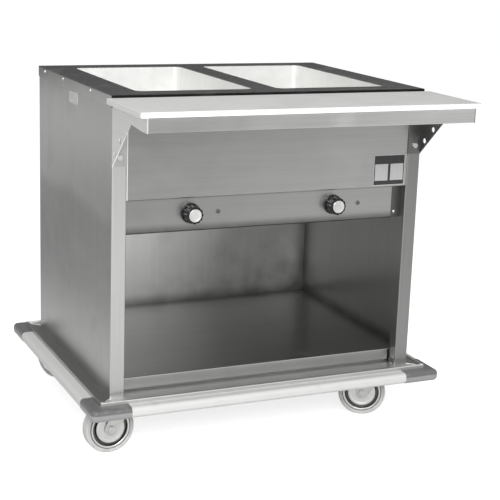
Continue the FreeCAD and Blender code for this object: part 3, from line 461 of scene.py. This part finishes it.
def finish_piece(name, mesh, finish, body, plane=False):
    """A piece that rides on a body: its doubles merged, its faces turned outwards, its edges
    sharp above the crease angle. Where plane is set, the triangles of each flat face are merged
    into one face first."""
    shell = bmesh.new()
    shell.from_mesh(mesh)
    bmesh.ops.remove_doubles(shell, verts=shell.verts, dist=TOUCHING)
    bmesh.ops.dissolve_degenerate(shell, edges=shell.edges, dist=TOUCHING)
    if plane:
        bmesh.ops.dissolve_limit(shell, angle_limit=math.radians(0.05), verts=shell.verts,
                                 edges=shell.edges)
    bmesh.ops.recalc_face_normals(shell, faces=shell.faces)
    shell.to_mesh(mesh)
    shell.free()
    mesh.shade_smooth()
    mesh.set_sharp_from_angle(angle=CREASE)
    piece = bpy.data.objects.new(name, mesh)
    bpy.context.scene.collection.objects.link(piece)
    mesh.materials.append(finish)
    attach(piece, body)
    return piece


def smooth_copy(node, finish, edge=0.0):
    """A copy of a CAD node with its round faces shaded smooth and, where edge is given, its
    sharp edges broken by that width."""
    mesh = NODES[node].data.copy()
    mesh.materials.clear()
    piece = finish_piece(node + "_shell", mesh, finish, BODY_OF[node], plane=True)
    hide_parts(node)
    if edge:
        broken = piece.modifiers.new("broken_edges", "BEVEL")
        broken.width = edge
        broken.segments = 2
        broken.limit_method = "ANGLE"
        broken.angle_limit = CREASE
        broken.use_clamp_overlap = True
    even = piece.modifiers.new("even_shading", "WEIGHTED_NORMAL")
    even.mode = "FACE_AREA"
    even.keep_sharp = True
    return piece


def softened(corners, radii, steps=5):
    """A line of (radius, height) corners, each rounded by a parabolic arc that starts and ends
    at its radius from the corner."""
    corners = np.array(corners, float)
    radii = np.array(radii, float)[:, None]
    before = np.roll(corners, 1, 0) - corners
    after = np.roll(corners, -1, 0) - corners
    before /= np.maximum(np.linalg.norm(before, axis=1, keepdims=True), 1e-9)
    after /= np.maximum(np.linalg.norm(after, axis=1, keepdims=True), 1e-9)
    start, end = corners + before * radii, corners + after * radii
    t = np.linspace(0, 1, steps)[None, :, None]
    arcs = ((1 - t) ** 2 * start[:, None] + 2 * t * (1 - t) * corners[:, None]
            + t ** 2 * end[:, None])
    return arcs.reshape(-1, 2)


def across_axes(axis):
    """Two unit vectors square to an axis and to each other."""
    axis = np.array(axis, float)
    helper = Z if abs(axis[2]) < 0.9 else X
    first = np.cross(helper, axis)
    first /= np.linalg.norm(first)
    return first, np.cross(axis, first)


def lathe(profile, centre, axis, steps, reach=None):
    """A profile of (radius, height) turned once round an axis through a centre. reach, if given,
    maps the radii and the angles to the radius at each point of the grid."""
    profile = np.array(profile, float)
    angle = np.linspace(0, 2 * math.pi, steps, endpoint=False)
    radius = np.repeat(profile[:, :1], steps, 1)
    if reach is not None:
        radius = reach(radius, angle[None, :])
    first, second = across_axes(axis)
    spoke = np.cos(angle)[:, None] * first + np.sin(angle)[:, None] * second
    points = (np.array(centre, float) + radius[..., None] * spoke[None]
              + profile[:, 1][:, None, None] * np.array(axis, float))
    return points, grid_faces(len(profile), steps, True)


def middle_of(node):
    """Centre of a CAD node's box."""
    low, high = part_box(node)
    return np.array((low + high) / 2)


# ---------------------------------------------------------------- knobs and lamps
KNOB_FLUTES = 12
FLUTE_RADIUS = 4.0 * MM
FLUTE_STAND_OUT = 2.0 * MM      # flute axes outside the knob's side
SKIRT_TALL = 5.0 * MM
SEAT_RADIUS = 16.0 * MM         # the cap's seat in the knob's front
SEAT_DEPTH = 2.0 * MM
SHAFT_RADIUS = 3.0 * MM
SHAFT_IN_KNOB = 22.0 * MM
BUSHING_ROOM = (10.0 * MM, 4.8 * MM)   # radius and depth of the room round the bushing
LENS_TAIL = 16.0 * MM
LENS_DOME = 2.5 * MM
COLLAR_TALL = 2.0 * MM
COLLAR_WALL = 1.5 * MM
LENS_GAP = 0.02 * MM


def knob_body(side, finish):
    """Fluted knob: the profile turned round its axis, its grip cut by round scallops: at an arc
    distance s from a scallop's middle the side is drawn in by sqrt(4^2 - s^2) - 2 mm."""
    node = "knob_" + side
    low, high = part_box(node)
    centre = middle_of(node)
    centre[1] = high.y
    skirt = (high.x - low.x) / 2
    tall = high.y - low.y
    root, front = skirt - 2.0 * MM, skirt - 3.0 * MM
    room, room_depth = BUSHING_ROOM
    corners = [(0, SHAFT_IN_KNOB), (SHAFT_RADIUS, SHAFT_IN_KNOB), (SHAFT_RADIUS, room_depth),
               (room, room_depth), (room, 0), (skirt, 0), (skirt, SKIRT_TALL), (root, SKIRT_TALL),
               (front, tall), (SEAT_RADIUS, tall), (SEAT_RADIUS, tall - SEAT_DEPTH),
               (0, tall - SEAT_DEPTH)]
    radii = [0, 0, 0, 0, 0.3 * MM, 0.5 * MM, 1.2 * MM, 0.5 * MM, 1.4 * MM, 0.4 * MM, 0, 0]
    profile = softened(corners, radii, 6)
    height = profile[:, 1]
    up_side = np.clip((height - SKIRT_TALL) / (tall - SKIRT_TALL), 0, 1)
    side_radius = (root + (front - root) * up_side)[:, None]
    grip = ((height > SKIRT_TALL + 0.01 * MM) & (profile[:, 0] > SEAT_RADIUS + 0.5 * MM))[:, None]

    def reach(radius, angle):
        pitch = 2 * math.pi / KNOB_FLUTES
        arc = side_radius * (np.mod(angle, pitch) - pitch / 2)
        scallop = np.sqrt(np.clip(FLUTE_RADIUS ** 2 - arc ** 2, 0, None)) - FLUTE_STAND_OUT
        cut = side_radius - np.clip(scallop, 0, None)
        return np.where(grip, np.minimum(radius, cut), radius)

    return build(node + "_grip", [lathe(profile, centre, -Y, KNOB_FLUTES * 16, reach)],
                 finish, [node])


def knob_cap(side, finish):
    """Bright cap: a shallow dish inside a rounded rim."""
    node = "knob_cap_" + side
    low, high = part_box(node)
    centre = middle_of(node)
    centre[1] = high.y
    radius = (high.x - low.x) / 2
    rim = high.y - low.y - 1.0 * MM
    dish = rim - 0.5 * MM
    corners = [(0, 0), (radius, 0), (radius, rim), (radius - 3.2 * MM, rim),
               (radius - 4.4 * MM, dish), (0, dish + 0.2 * MM)]
    radii = [0, 0.3 * MM, 0.9 * MM, 0.8 * MM, 0.6 * MM, 0]
    return build(node + "_disc", [lathe(softened(corners, radii), centre, -Y, 96)], finish, [node])


def lamp_places():
    """Centres of the two pilot lamps on the panel's face, and the radius of their collars."""
    low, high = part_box("lamp_bezels")
    z = (low.z + high.z) / 2
    radius = (high.z - low.z) / 2
    return [(low.x + radius, high.y, z), (high.x - radius, high.y, z)], radius


def lamps(lens_finish, bezel_finish):
    """Domed lenses inside stepped collars."""
    centres, outer = lamp_places()
    inner = outer - COLLAR_WALL
    bore = inner + LENS_GAP
    dome = np.linspace(0, math.pi / 2, 9)[1:]
    lens = [(0, -LENS_TAIL), (inner, -LENS_TAIL), (inner, COLLAR_TALL)]
    lens += [(inner * math.cos(a), COLLAR_TALL + LENS_DOME * math.sin(a)) for a in dome]
    collar = softened([(bore, 0), (outer, 0), (outer, COLLAR_TALL), (bore, COLLAR_TALL)],
                      [0, 0.2 * MM, 0.8 * MM, 0.4 * MM])
    collar = np.concatenate([collar, collar[:1]])
    build("lamp_domes", [lathe(lens, centre, -Y, 40) for centre in centres],
          lens_finish, ["lamp_lenses"])
    build("lamp_collars", [lathe(collar, centre, -Y, 48) for centre in centres],
          bezel_finish, ["lamp_bezels"])


# ---------------------------------------------------------------- wheels
TREAD_HALF = 16.0 * MM          # half width of the tread
TREAD_DEPTH = 11.5 * MM
WALL_STEP = 1.2 * MM            # step from the tyre's wall down to the wheel's rim
HUB_HALF = 18.5 * MM            # half length of the hub
AXLE_BORE = 5.05 * MM
DISC_STAND = 1.0 * MM           # the disc's face past the tread's side
GROOVE_DEPTH = 8.0 * MM
# radii of the core's groove and of its rim at the tyre: grime with painted shade
GRIME_AND_SHADE = ((38.4 * MM, 45.4 * MM), (51.2 * MM, 60.0 * MM))


def wheel_axle(corner):
    """A wheel's centre, its axis and the axis's turn about Z from Y."""
    joint = JOINTS["roll_" + corner]
    axis = np.array(joint["axis"], float)
    return np.array(joint["pos_m"], float), axis, math.atan2(-axis[0], axis[1])


def tyre(corner, finish):
    """Soft-shouldered tyre: flat tread, rounded shoulders, a step down to the wheel's rim."""
    node = "caster_tyre_" + corner
    low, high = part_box(node)
    centre, axis, _ = wheel_axle(corner)
    radius, half = (high.z - low.z) / 2, TREAD_HALF
    inner, wall, rim = radius - TREAD_DEPTH, radius - 6.0 * MM, half - WALL_STEP
    flank, shoulder = radius - 2.6 * MM, half - 3.0 * MM
    near = [(inner, rim), (wall, rim), (wall + WALL_STEP, half), (flank, half), (radius, shoulder)]
    corners = [(r, -h) for r, h in near] + near[::-1]
    radii = [0, 0.4 * MM, 0.5 * MM, 1.4 * MM, 1.6 * MM, 1.6 * MM, 1.4 * MM, 0.5 * MM, 0.4 * MM, 0]
    profile = softened(corners, radii, 4)
    profile = np.concatenate([profile, profile[:1]])
    return build(node + "_tread", [lathe(profile, centre, axis, 128)], finish, [node])


def wheel_core(corner, finish):
    """Pressed wheel core: a bright dished disc, a groove round it and the rim under the tyre."""
    node = "caster_hub_" + corner
    low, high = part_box(node)
    centre, axis, _ = wheel_axle(corner)
    rim, half = (high.z - low.z) / 2, TREAD_HALF
    disc, floor = half + DISC_STAND, half - GROOVE_DEPTH
    dish = disc - 0.8 * MM
    side = [(AXLE_BORE, HUB_HALF), (12.0 * MM, HUB_HALF), (14.0 * MM, disc), (20.0 * MM, dish),
            (29.0 * MM, dish), (32.0 * MM, disc), (36.5 * MM, disc), (38.0 * MM, disc - 2.5 * MM),
            (39.0 * MM, floor), (45.0 * MM, floor), (46.0 * MM, half - 0.8 * MM),
            (47.0 * MM, half), (rim, half)]
    soft = [0.3, 0.6, 0.8, 1.5, 1.2, 0.9, 0.9, 0.8, 1.0, 1.0, 0.5, 0.4, 0.0]
    front = softened([(r, -h) for r, h in side], [s * MM for s in soft], 4)
    back = softened(side[::-1], [s * MM for s in soft[::-1]], 4)
    profile = np.concatenate([front, back, front[:1]])
    return build(node + "_core", [lathe(profile, centre, axis, 128)], finish, [node])


# ---------------------------------------------------------------- weld seams
WELD_RADIUS = 1.9 * MM
WELD_RIPPLE = 2.6 * MM
RAISED_EDGE = (8.0 * MM, 4.0 * MM)      # width and height of the deck's raised edge


def weld_seams(finish):
    """Ground weld beads along the deck's four mitres. At an inset o from the outer corner the
    section is a flat ring r * (cos a, 0.45 sin a), r = 1.9 mm * (1 + 0.12 sin(2 pi o / 2.6 mm)),
    drawn to nothing at both ends; the line climbs the raised edge where o < 8 mm."""
    low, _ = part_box("base_rail_left")
    front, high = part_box("base_rail_front")[0].y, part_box("base_rail_back")[1]
    edge_width, edge_height = RAISED_EDGE
    inset = np.linspace(1.2, 37.0, 120) * MM
    climb = np.clip((edge_width + 0.8 * MM - inset) / (1.4 * MM), 0, 1)
    height = high.z - edge_height * (1 - climb * climb * (3 - 2 * climb))
    radius = WELD_RADIUS * (1 + 0.12 * np.sin(2 * math.pi * inset / WELD_RIPPLE))
    radius[[0, -1]] = 0.0
    angle = np.linspace(0, 2 * math.pi, 16, endpoint=False)
    rise = radius[:, None] * 0.45 * np.sin(angle)
    beside = radius[:, None] * np.cos(angle) / math.sqrt(2)
    surfaces = []
    for side_x in (-1, 1):
        for edge_y, inward_y in ((front, 1), (high.y, -1)):
            x = -side_x * (low.x + inset)[:, None] + beside
            y = edge_y + inward_y * inset[:, None] + side_x * inward_y * beside
            points = np.stack([x, y, height[:, None] + rise], -1)
            surfaces.append((points, grid_faces(len(inset), len(angle), True)))
    mesh = surface_mesh("deck_weld_seams", surfaces)
    piece = finish_piece("deck_weld_seams", mesh, finish, "cabinet")


# ---------------------------------------------------------------- fasteners
SCREW_RADIUS = 4.25 * MM
SCREW_TALL = 2.4 * MM
SCREW_LENGTH = 8.0 * MM
THREAD_RADIUS = 2.0 * MM
SKIRT_SHARE = 0.35              # of the head's height, where its dome starts


def cross_screws(node, finish):
    """Cross-recessed domed screws: the dome h = H * (0.35 + 0.65 * sqrt(1 - (r/R)^2)), sunk by a
    cross where either arm is nearer than its half width."""
    recess, arm_half, slope = 1.2 * MM, 0.62 * MM, 0.22 * MM
    share = np.concatenate([np.linspace(0, 0.62, 14), np.linspace(0.68, 1.0, 9)])
    angle = np.linspace(0, 2 * math.pi, 48, endpoint=False)
    radius = share[:, None] * SCREW_RADIUS
    first, second = radius * np.cos(angle), radius * np.sin(angle)
    dome = SCREW_TALL * (SKIRT_SHARE + (1 - SKIRT_SHARE) * np.sqrt(1 - share ** 2))[:, None]
    arm = np.minimum(np.abs(first), np.abs(second))
    cross = np.clip((arm_half - arm) / slope, 0, 1) * (radius < 0.6 * SCREW_RADIUS)
    height = (dome - recess * cross)[..., None]
    skirt = [(SCREW_RADIUS, SCREW_TALL * SKIRT_SHARE), (SCREW_RADIUS, 0), (THREAD_RADIUS, 0),
             (THREAD_RADIUS, -SCREW_LENGTH), (0, -SCREW_LENGTH)]
    surfaces = []
    for point, outward in screw_points(node):
        u, v = across_axes(outward)
        head = point + first[..., None] * u + second[..., None] * v + height * outward
        surfaces.append((head, grid_faces(len(share), len(angle), True)))
        surfaces.append(lathe(skirt, point, outward, len(angle)))
    return build(node + "_heads", surfaces, finish, [node])


def screw_points(node):
    """The middle of each screw's seat and the way its head points, from the node's solids."""
    found = []
    for island in islands(node):
        low, high = island.min(0), island.max(0)
        axis = int(np.argmax(high - low))
        point = (low + high) / 2
        outward = np.zeros(3)
        outward[axis] = 1.0 if point[axis] > 0 else -1.0
        tip = high[axis] if outward[axis] > 0 else low[axis]
        point[axis] = tip - outward[axis] * SCREW_TALL
        found.append((point, outward))
    return found


def islands(node):
    """The vertices of each separate solid of a CAD node."""
    shell = bmesh.new()
    shell.from_mesh(NODES[node].data)
    bmesh.ops.remove_doubles(shell, verts=shell.verts, dist=TOUCHING)
    shell.verts.ensure_lookup_table()
    left, groups = set(shell.verts), []
    while left:
        stack, group = [left.pop()], []
        while stack:
            vertex = stack.pop()
            group.append(tuple(vertex.co))
            for edge in vertex.link_edges:
                other = edge.other_vert(vertex)
                if other in left:
                    left.remove(other)
                    stack.append(other)
        groups.append(np.array(group))
    shell.free()
    return sorted(groups, key=lambda g: tuple(np.round(g.mean(0), 4)))


# ---------------------------------------------------------------- painted shade, highlights and grime on the sheets
# Each function gives a mark's strength from the object coordinates.
SIDE_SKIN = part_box("side_panel_right")[1].x - 0.7 * MM     # within the side sheets' thickness
POST_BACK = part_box("side_panel_left")[0].y + 39.4 * MM     # just behind the corner posts
BACK_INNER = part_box("back_panel")[0].y
FLOOR_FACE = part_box("bottom_shelf")[1].z


def side_reflection_shade(across, depth, up):
    """Left side's outer face: painted shade from half height down, standing in for a darker
    reflection, with a cloudy upper edge.
    """
    height = up + 0.09 * (up.tree.noise(4.5, detail=3.0) - 0.5)
    upper = 0.5 * height.ramp(0.58, 0.63) + 0.5 * up.ramp(0.64, 0.86)
    return (across < -SIDE_SKIN) * (0.03 + 0.44 * up.ramp(0.16, 0.42) * (1 - upper))


def inner_shade_and_grime(across, depth, up):
    """Right side's inner face, behind the post: painted shade with grime, darker deeper in."""
    return (across < SIDE_SKIN) * depth.ramp(POST_BACK, -0.02) * 0.08


def back_shade_and_grime(across, depth, up):
    """Back sheet: painted shade with grime, darker to the right and towards the floor."""
    low = 1 - up.ramp(FLOOR_FACE, 0.46)
    return 0.28 * low + 0.50 * across.ramp(-0.30, 0.24)


def corner_shade(across, depth, up):
    """Painted shade in the compartment's inner seams, where two of its walls meet."""
    from_middle = across.math("ABSOLUTE")
    side = from_middle.ramp(SIDE_SKIN - 50 * MM, SIDE_SKIN - 1.3 * MM)
    back = depth.ramp(BACK_INNER - 53 * MM, BACK_INNER + 0.8 * MM)
    foot = 1 - up.ramp(FLOOR_FACE + 1 * MM, FLOOR_FACE + 38 * MM)
    seams = (side * back + back * foot + side * foot).math("MINIMUM", 1.0)
    inside = (from_middle < SIDE_SKIN) * (depth < BACK_INNER + 1.8 * MM) * (depth > POST_BACK)
    return 0.50 * seams * inside


def lip_face(across, depth, up):
    """The compartment floor's front lip."""
    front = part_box("bottom_shelf")[0].y
    return 0.6 * (1 - depth.ramp(front + 1.5 * MM, front + 2.5 * MM))


def joint_shade_behind_board(across, depth, up):
    """The top's front rim, where the board meets it: a dark joint with painted shade."""
    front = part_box("top_sheet")[0].y
    return 1 - depth.ramp(front + 1.9 * MM, front + 2.9 * MM)


def rim_side_highlight(across, depth, up):
    """The top's left rim, painted paler than its face as a highlight."""
    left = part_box("top_sheet")[0].x
    return 1 - across.ramp(left + 1.5 * MM, left + 2.5 * MM)


def gusset_flange_shade(across, depth, up):
    """The left gusset's flange on the post, darker than its plate: painted shade."""
    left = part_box("bracket_left")[0].x
    return 0.9 * across.ramp(left + 2.5 * MM, left + 3.5 * MM)


def left_side_shade(across, depth, up):
    """Front sheets: painted shade, darker to the left."""
    return 0.50 * (1 - across.ramp(-0.44, 0.42))


def band_edge_shade(across, depth, up):
    """Control band: painted shade along its rolled lower edge and painted shadow under the apron.
    """
    low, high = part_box("control_panel")
    rolled = 1 - up.ramp(low.z + 4 * MM, low.z + 24 * MM)
    return 0.74 * rolled + 0.35 * up.ramp(high.z - 6 * MM, high.z)


def apron_edge_highlight(across, depth, up):
    """Painted highlight along the apron's left edge."""
    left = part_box("front_apron")[0].x
    return 1 - across.ramp(left + 2.6 * MM, left + 3.2 * MM)


# ---------------------------------------------------------------- dressing the trolley
def dress_cabinet():
    """Stainless sheets, each with its grain along its length, and what hangs on them."""
    side_marks = [(0.06, inner_shade_and_grime), (0.03, corner_shade)]
    back_marks = [(0.05, back_shade_and_grime), (0.03, corner_shade)]
    floor_marks = [(0.28, lip_face), (0.05, corner_shade)]
    top_marks = [(0.50, rim_side_highlight), (0.02, joint_shade_behind_board)]
    apron_marks = [(0.15, left_side_shade), (0.90, apron_edge_highlight)]
    band_marks = [(0.13, left_side_shade), (0.10, band_edge_shade)]
    sheets = {
        "side_panel_left": brushed("stainless_left", 0.54, UP, marks=[(0.10, side_reflection_shade)]),
        # darker tone than the left sheet: painted shade
        "side_panel_right": brushed("stainless_right_painted_shade", 0.31, UP, marks=side_marks),
        "back_panel": brushed("stainless_back", 0.74, UP, 0.36, back_marks),
        # near-black tone of the stainless end strip: painted shade
        "panel_end_strip": brushed("stainless_strip_painted_shade", 0.13, UP),
        "compartment_ceiling": brushed("stainless_ceiling", 0.44, ACROSS),
        "front_apron": brushed("stainless_apron", 0.475, ACROSS, marks=apron_marks),
        "control_panel": brushed("stainless_band", 0.43, ACROSS, marks=band_marks),
        "bottom_shelf": brushed("stainless_floor", 0.57, ACROSS, marks=floor_marks),
        "board_shelf": brushed("stainless_shelf", 0.68, ACROSS, marks=[(0.12, left_side_shade)]),
        # pale tone of the left gusset: painted highlight
        "bracket_left": brushed("gusset_steel_painted_highlight", 0.92, DEEP, 0.38, [(0.40, gusset_flange_shade)]),
        # dark tone of the right gusset: painted shade
        "bracket_right": brushed("gusset_steel_painted_shade", 0.20, DEEP),
        "top_sheet": brushed("stainless_top", 0.27, ACROSS, 0.26, top_marks),
        "control_box": plated("zinc_sheet", grey(0.58)),
        "info_plate": bare_plate("blank_plate"),
        "side_tag": pebbled("blank_tag", grey(0.62), 300.0),
        "cord_gland": pebbled("black_nylon", grey(0.03), 500.0, 0.42),
        "cutting_board": board_plastic("white_board"),
    }
    for node, finish in sheets.items():
        smooth_copy(node, finish)


def dress_wells():
    """Bright liners over the heating parts."""
    liner = galvanised("galvanised_liner", grey(0.88))
    sheath = heated_sheath("heated_sheath")
    for side in ("left", "right"):
        smooth_copy("well_liner_" + side, liner)
        smooth_copy("heating_element_" + side, sheath)
    smooth_copy("well_insulation", glass_fibre("glass_fibre"))
    smooth_copy("element_trays", plated("zinc_tray", (0.55, 0.55, 0.54)))


def dress_controls():
    """Knobs, caps, shafts, heat controls and pilot lamps."""
    body = pebbled("black_moulding", (0.035, 0.035, 0.038), 500.0, 0.45)
    steel = plated("bright_steel", (0.62, 0.62, 0.60), 0.28)
    black = knob_black("knob_black")
    for side in ("left", "right"):
        knob_body(side, black)
        centre = middle_of("knob_" + side)
        knob_cap(side, spun("spun_cap_" + side, grey(0.80), centre))
        smooth_copy("knob_shaft_" + side, steel)
        smooth_copy("heat_control_" + side, body)
    lamps(lens_plastic("pilot_lens"), pebbled("grey_collar", grey(0.16), 600.0, 0.35))


def dress_fasteners():
    """Screws, bolts and studs."""
    bright = plated("bright_screw", (0.72, 0.72, 0.71), 0.22)
    cross_screws("rim_screws", bright)
    cross_screws("end_strip_screw", bright)
    smooth_copy("board_studs", bright)
    smooth_copy("bracket_bolts", bright, edge=0.5 * MM)
    smooth_copy("caster_studs", plated("zinc_bolt", (0.60, 0.60, 0.57), 0.32), edge=0.5 * MM)


def dress_base():
    """Base rails, bumper strips with their corners, and the casters."""
    deck = brushed("stainless_deck", 0.57, ACROSS, roughness=0.46)
    side_deck = brushed("stainless_side_deck", 0.46, DEEP)
    across = vinyl("vinyl_across", (0.76, 0.76, 0.75), ACROSS, 0.18)
    deep = vinyl("vinyl_deep", (0.68, 0.68, 0.67), DEEP, 0.18)
    pairs = ((("front", "back"), deck, across), (("left", "right"), side_deck, deep))
    for sides, rail, strip in pairs:
        for side in sides:
            smooth_copy("base_rail_" + side, rail)
            smooth_copy("bumper_" + side, strip)
    weld_seams(plated("weld_metal", grey(0.86), 0.40))
    smooth_copy("bumper_corners", lit_below_vinyl("corner_vinyl", 0.15, 0.34, 0.137))
    zinc = plated("zinc_pressing", (0.66, 0.66, 0.64), 0.30)
    smooth_copy("caster_plates", zinc)
    for corner in CORNERS:
        centre, _, turn = wheel_axle(corner)
        smooth_copy("caster_fork_" + corner, zinc, edge=0.4 * MM)
        tyre(corner, tread_rubber("tread_rubber_" + corner, centre, turn))
        core = spun("spun_core_" + corner, grey(0.78), centre, turn, 0.26, grime_and_shade_bands=GRIME_AND_SHADE)
        wheel_core(corner, core)


# ---------------------------------------------------------------- studio
CAMERA_PLACE = Vector((-1.3667, -3.0883, 1.2831))
CAMERA_YAW, CAMERA_PITCH, CAMERA_ROLL = 0.4297, 0.2432, -0.0348
CAMERA_FOCAL = 1300.9        # pixels of the photo's frame
FRAME_SIZE = 500             # pixels
FLOOR_GLOW = 0.72
WORLD_LIGHT = 0.38           # the world's strength as it lights the object


def studio_camera():
    """The photo's viewpoint: its place, its heading, its tilt down and its small roll."""
    ahead = Vector((math.sin(CAMERA_YAW) * math.cos(CAMERA_PITCH),
                    math.cos(CAMERA_YAW) * math.cos(CAMERA_PITCH), -math.sin(CAMERA_PITCH)))
    level = Vector((math.cos(CAMERA_YAW), -math.sin(CAMERA_YAW), 0))
    down = ahead.cross(level)
    right = math.cos(CAMERA_ROLL) * level + math.sin(CAMERA_ROLL) * down
    up = math.sin(CAMERA_ROLL) * level - math.cos(CAMERA_ROLL) * down
    data = bpy.data.cameras.new("studio_camera")
    data.sensor_width = 36
    data.lens = CAMERA_FOCAL / FRAME_SIZE * data.sensor_width
    camera = bpy.data.objects.new("studio_camera", data)
    bpy.context.scene.collection.objects.link(camera)
    turn = Matrix((right, up, -ahead)).transposed().to_4x4()
    camera.matrix_world = Matrix.Translation(CAMERA_PLACE) @ turn
    bpy.context.scene.camera = camera


def staged_sheet(name, corners, finish):
    """A flat four-cornered sheet of the studio, which isn't part of the object."""
    mesh = bpy.data.meshes.new(name)
    mesh.from_pydata(corners, [], [(0, 1, 2, 3)])
    mesh.materials.append(finish.material)
    sheet = bpy.data.objects.new(name, mesh)
    bpy.context.scene.collection.objects.link(sheet)
    return sheet


def studio_floor():
    """Pale floor that shows white, keeps the object's shadow, and shows metal a grey floor that
    darkens to the right."""
    finish = Finish("studio_floor", Base_Color=rgba(0.80), Roughness=0.9, Specular_IOR_Level=0.0,
                    Emission_Strength=1.0)
    across, depth, _ = finish.axes()
    in_front = 0.20 - 0.04 * across.ramp(0.1, 1.7)
    behind = 0.10 * (1 - depth.ramp(0.6, 1.5)) + 0.35 * depth.ramp(2.4, 4.5)
    sheen = in_front + (behind - in_front) * (depth > 0.0)
    glow = finish.seen("Camera", "Transmission") * FLOOR_GLOW + finish.seen("Glossy") * sheen
    finish.put("Emission Color", finish.mix(glow, 0.0, 1.0))
    reach = 30.0
    corners = [(-reach, -reach, 0), (reach, -reach, 0), (reach, reach, 0), (-reach, reach, 0)]
    staged_sheet("studio_floor", corners, finish)


def studio_world():
    """White all round to the camera and to metal, and plain soft grey light on the object."""
    world = bpy.data.worlds.new("studio_world")
    world.use_nodes = True
    bpy.context.scene.world = world
    tree = NodeTree(world.node_tree)
    background = world.node_tree.nodes["Background"]
    tree.join(background.inputs["Color"], rgba(1.0))
    seen = tree.seen("Camera", "Glossy", "Transmission")
    tree.join(background.inputs["Strength"], WORLD_LIGHT + (1 - WORLD_LIGHT) * seen)


def dark_card(name, left, right, bottom, top, depth, level):
    """An upright dark studio card that only metal shows: the camera and the light pass it."""
    finish = Finish(name, Base_Color=rgba(0.0), Specular_IOR_Level=0.0,
                    Emission_Color=rgba(level), Emission_Strength=1.0)
    corners = [(left, depth, bottom), (right, depth, bottom), (right, depth, top),
               (left, depth, top)]
    card = staged_sheet(name, corners, finish)
    card.visible_camera = False
    card.visible_diffuse = False
    card.visible_shadow = False
    card.visible_transmission = False


def softbox(name, place, aim, size, power):
    """A rectangular soft light at a place, aimed at a point."""
    data = bpy.data.lights.new(name, "AREA")
    data.shape = "RECTANGLE"
    data.size, data.size_y = size
    data.energy = power
    lamp = bpy.data.objects.new(name, data)
    lamp.location = place
    lamp.rotation_mode = "QUATERNION"
    lamp.rotation_quaternion = (Vector(aim) - Vector(place)).to_track_quat("-Z", "Y")
    bpy.context.scene.collection.objects.link(lamp)


def studio_lights():
    """A large light in front, weak ones at the left and overhead, and the card behind."""
    softbox("front_light", (-1.2, -3.6, 2.4), (0, 0, 0.5), (2.4, 1.6), 132)
    softbox("left_light", (-3.2, 0.4, 1.9), (0, 0, 0.5), (1.8, 1.8), 14)
    softbox("top_light", (0.3, 0.4, 3.4), (0, 0, 0.8), (2.0, 2.0), 9)
    dark_card("card_behind", left=-5, right=6, bottom=0.55, top=2.6, depth=3, level=0.10)


# ---------------------------------------------------------------- the whole scene
dress_cabinet()
dress_wells()
dress_controls()
dress_fasteners()
dress_base()
studio_camera()
studio_floor()
studio_world()
studio_lights()
bpy.context.scene.view_settings.view_transform = "Standard"
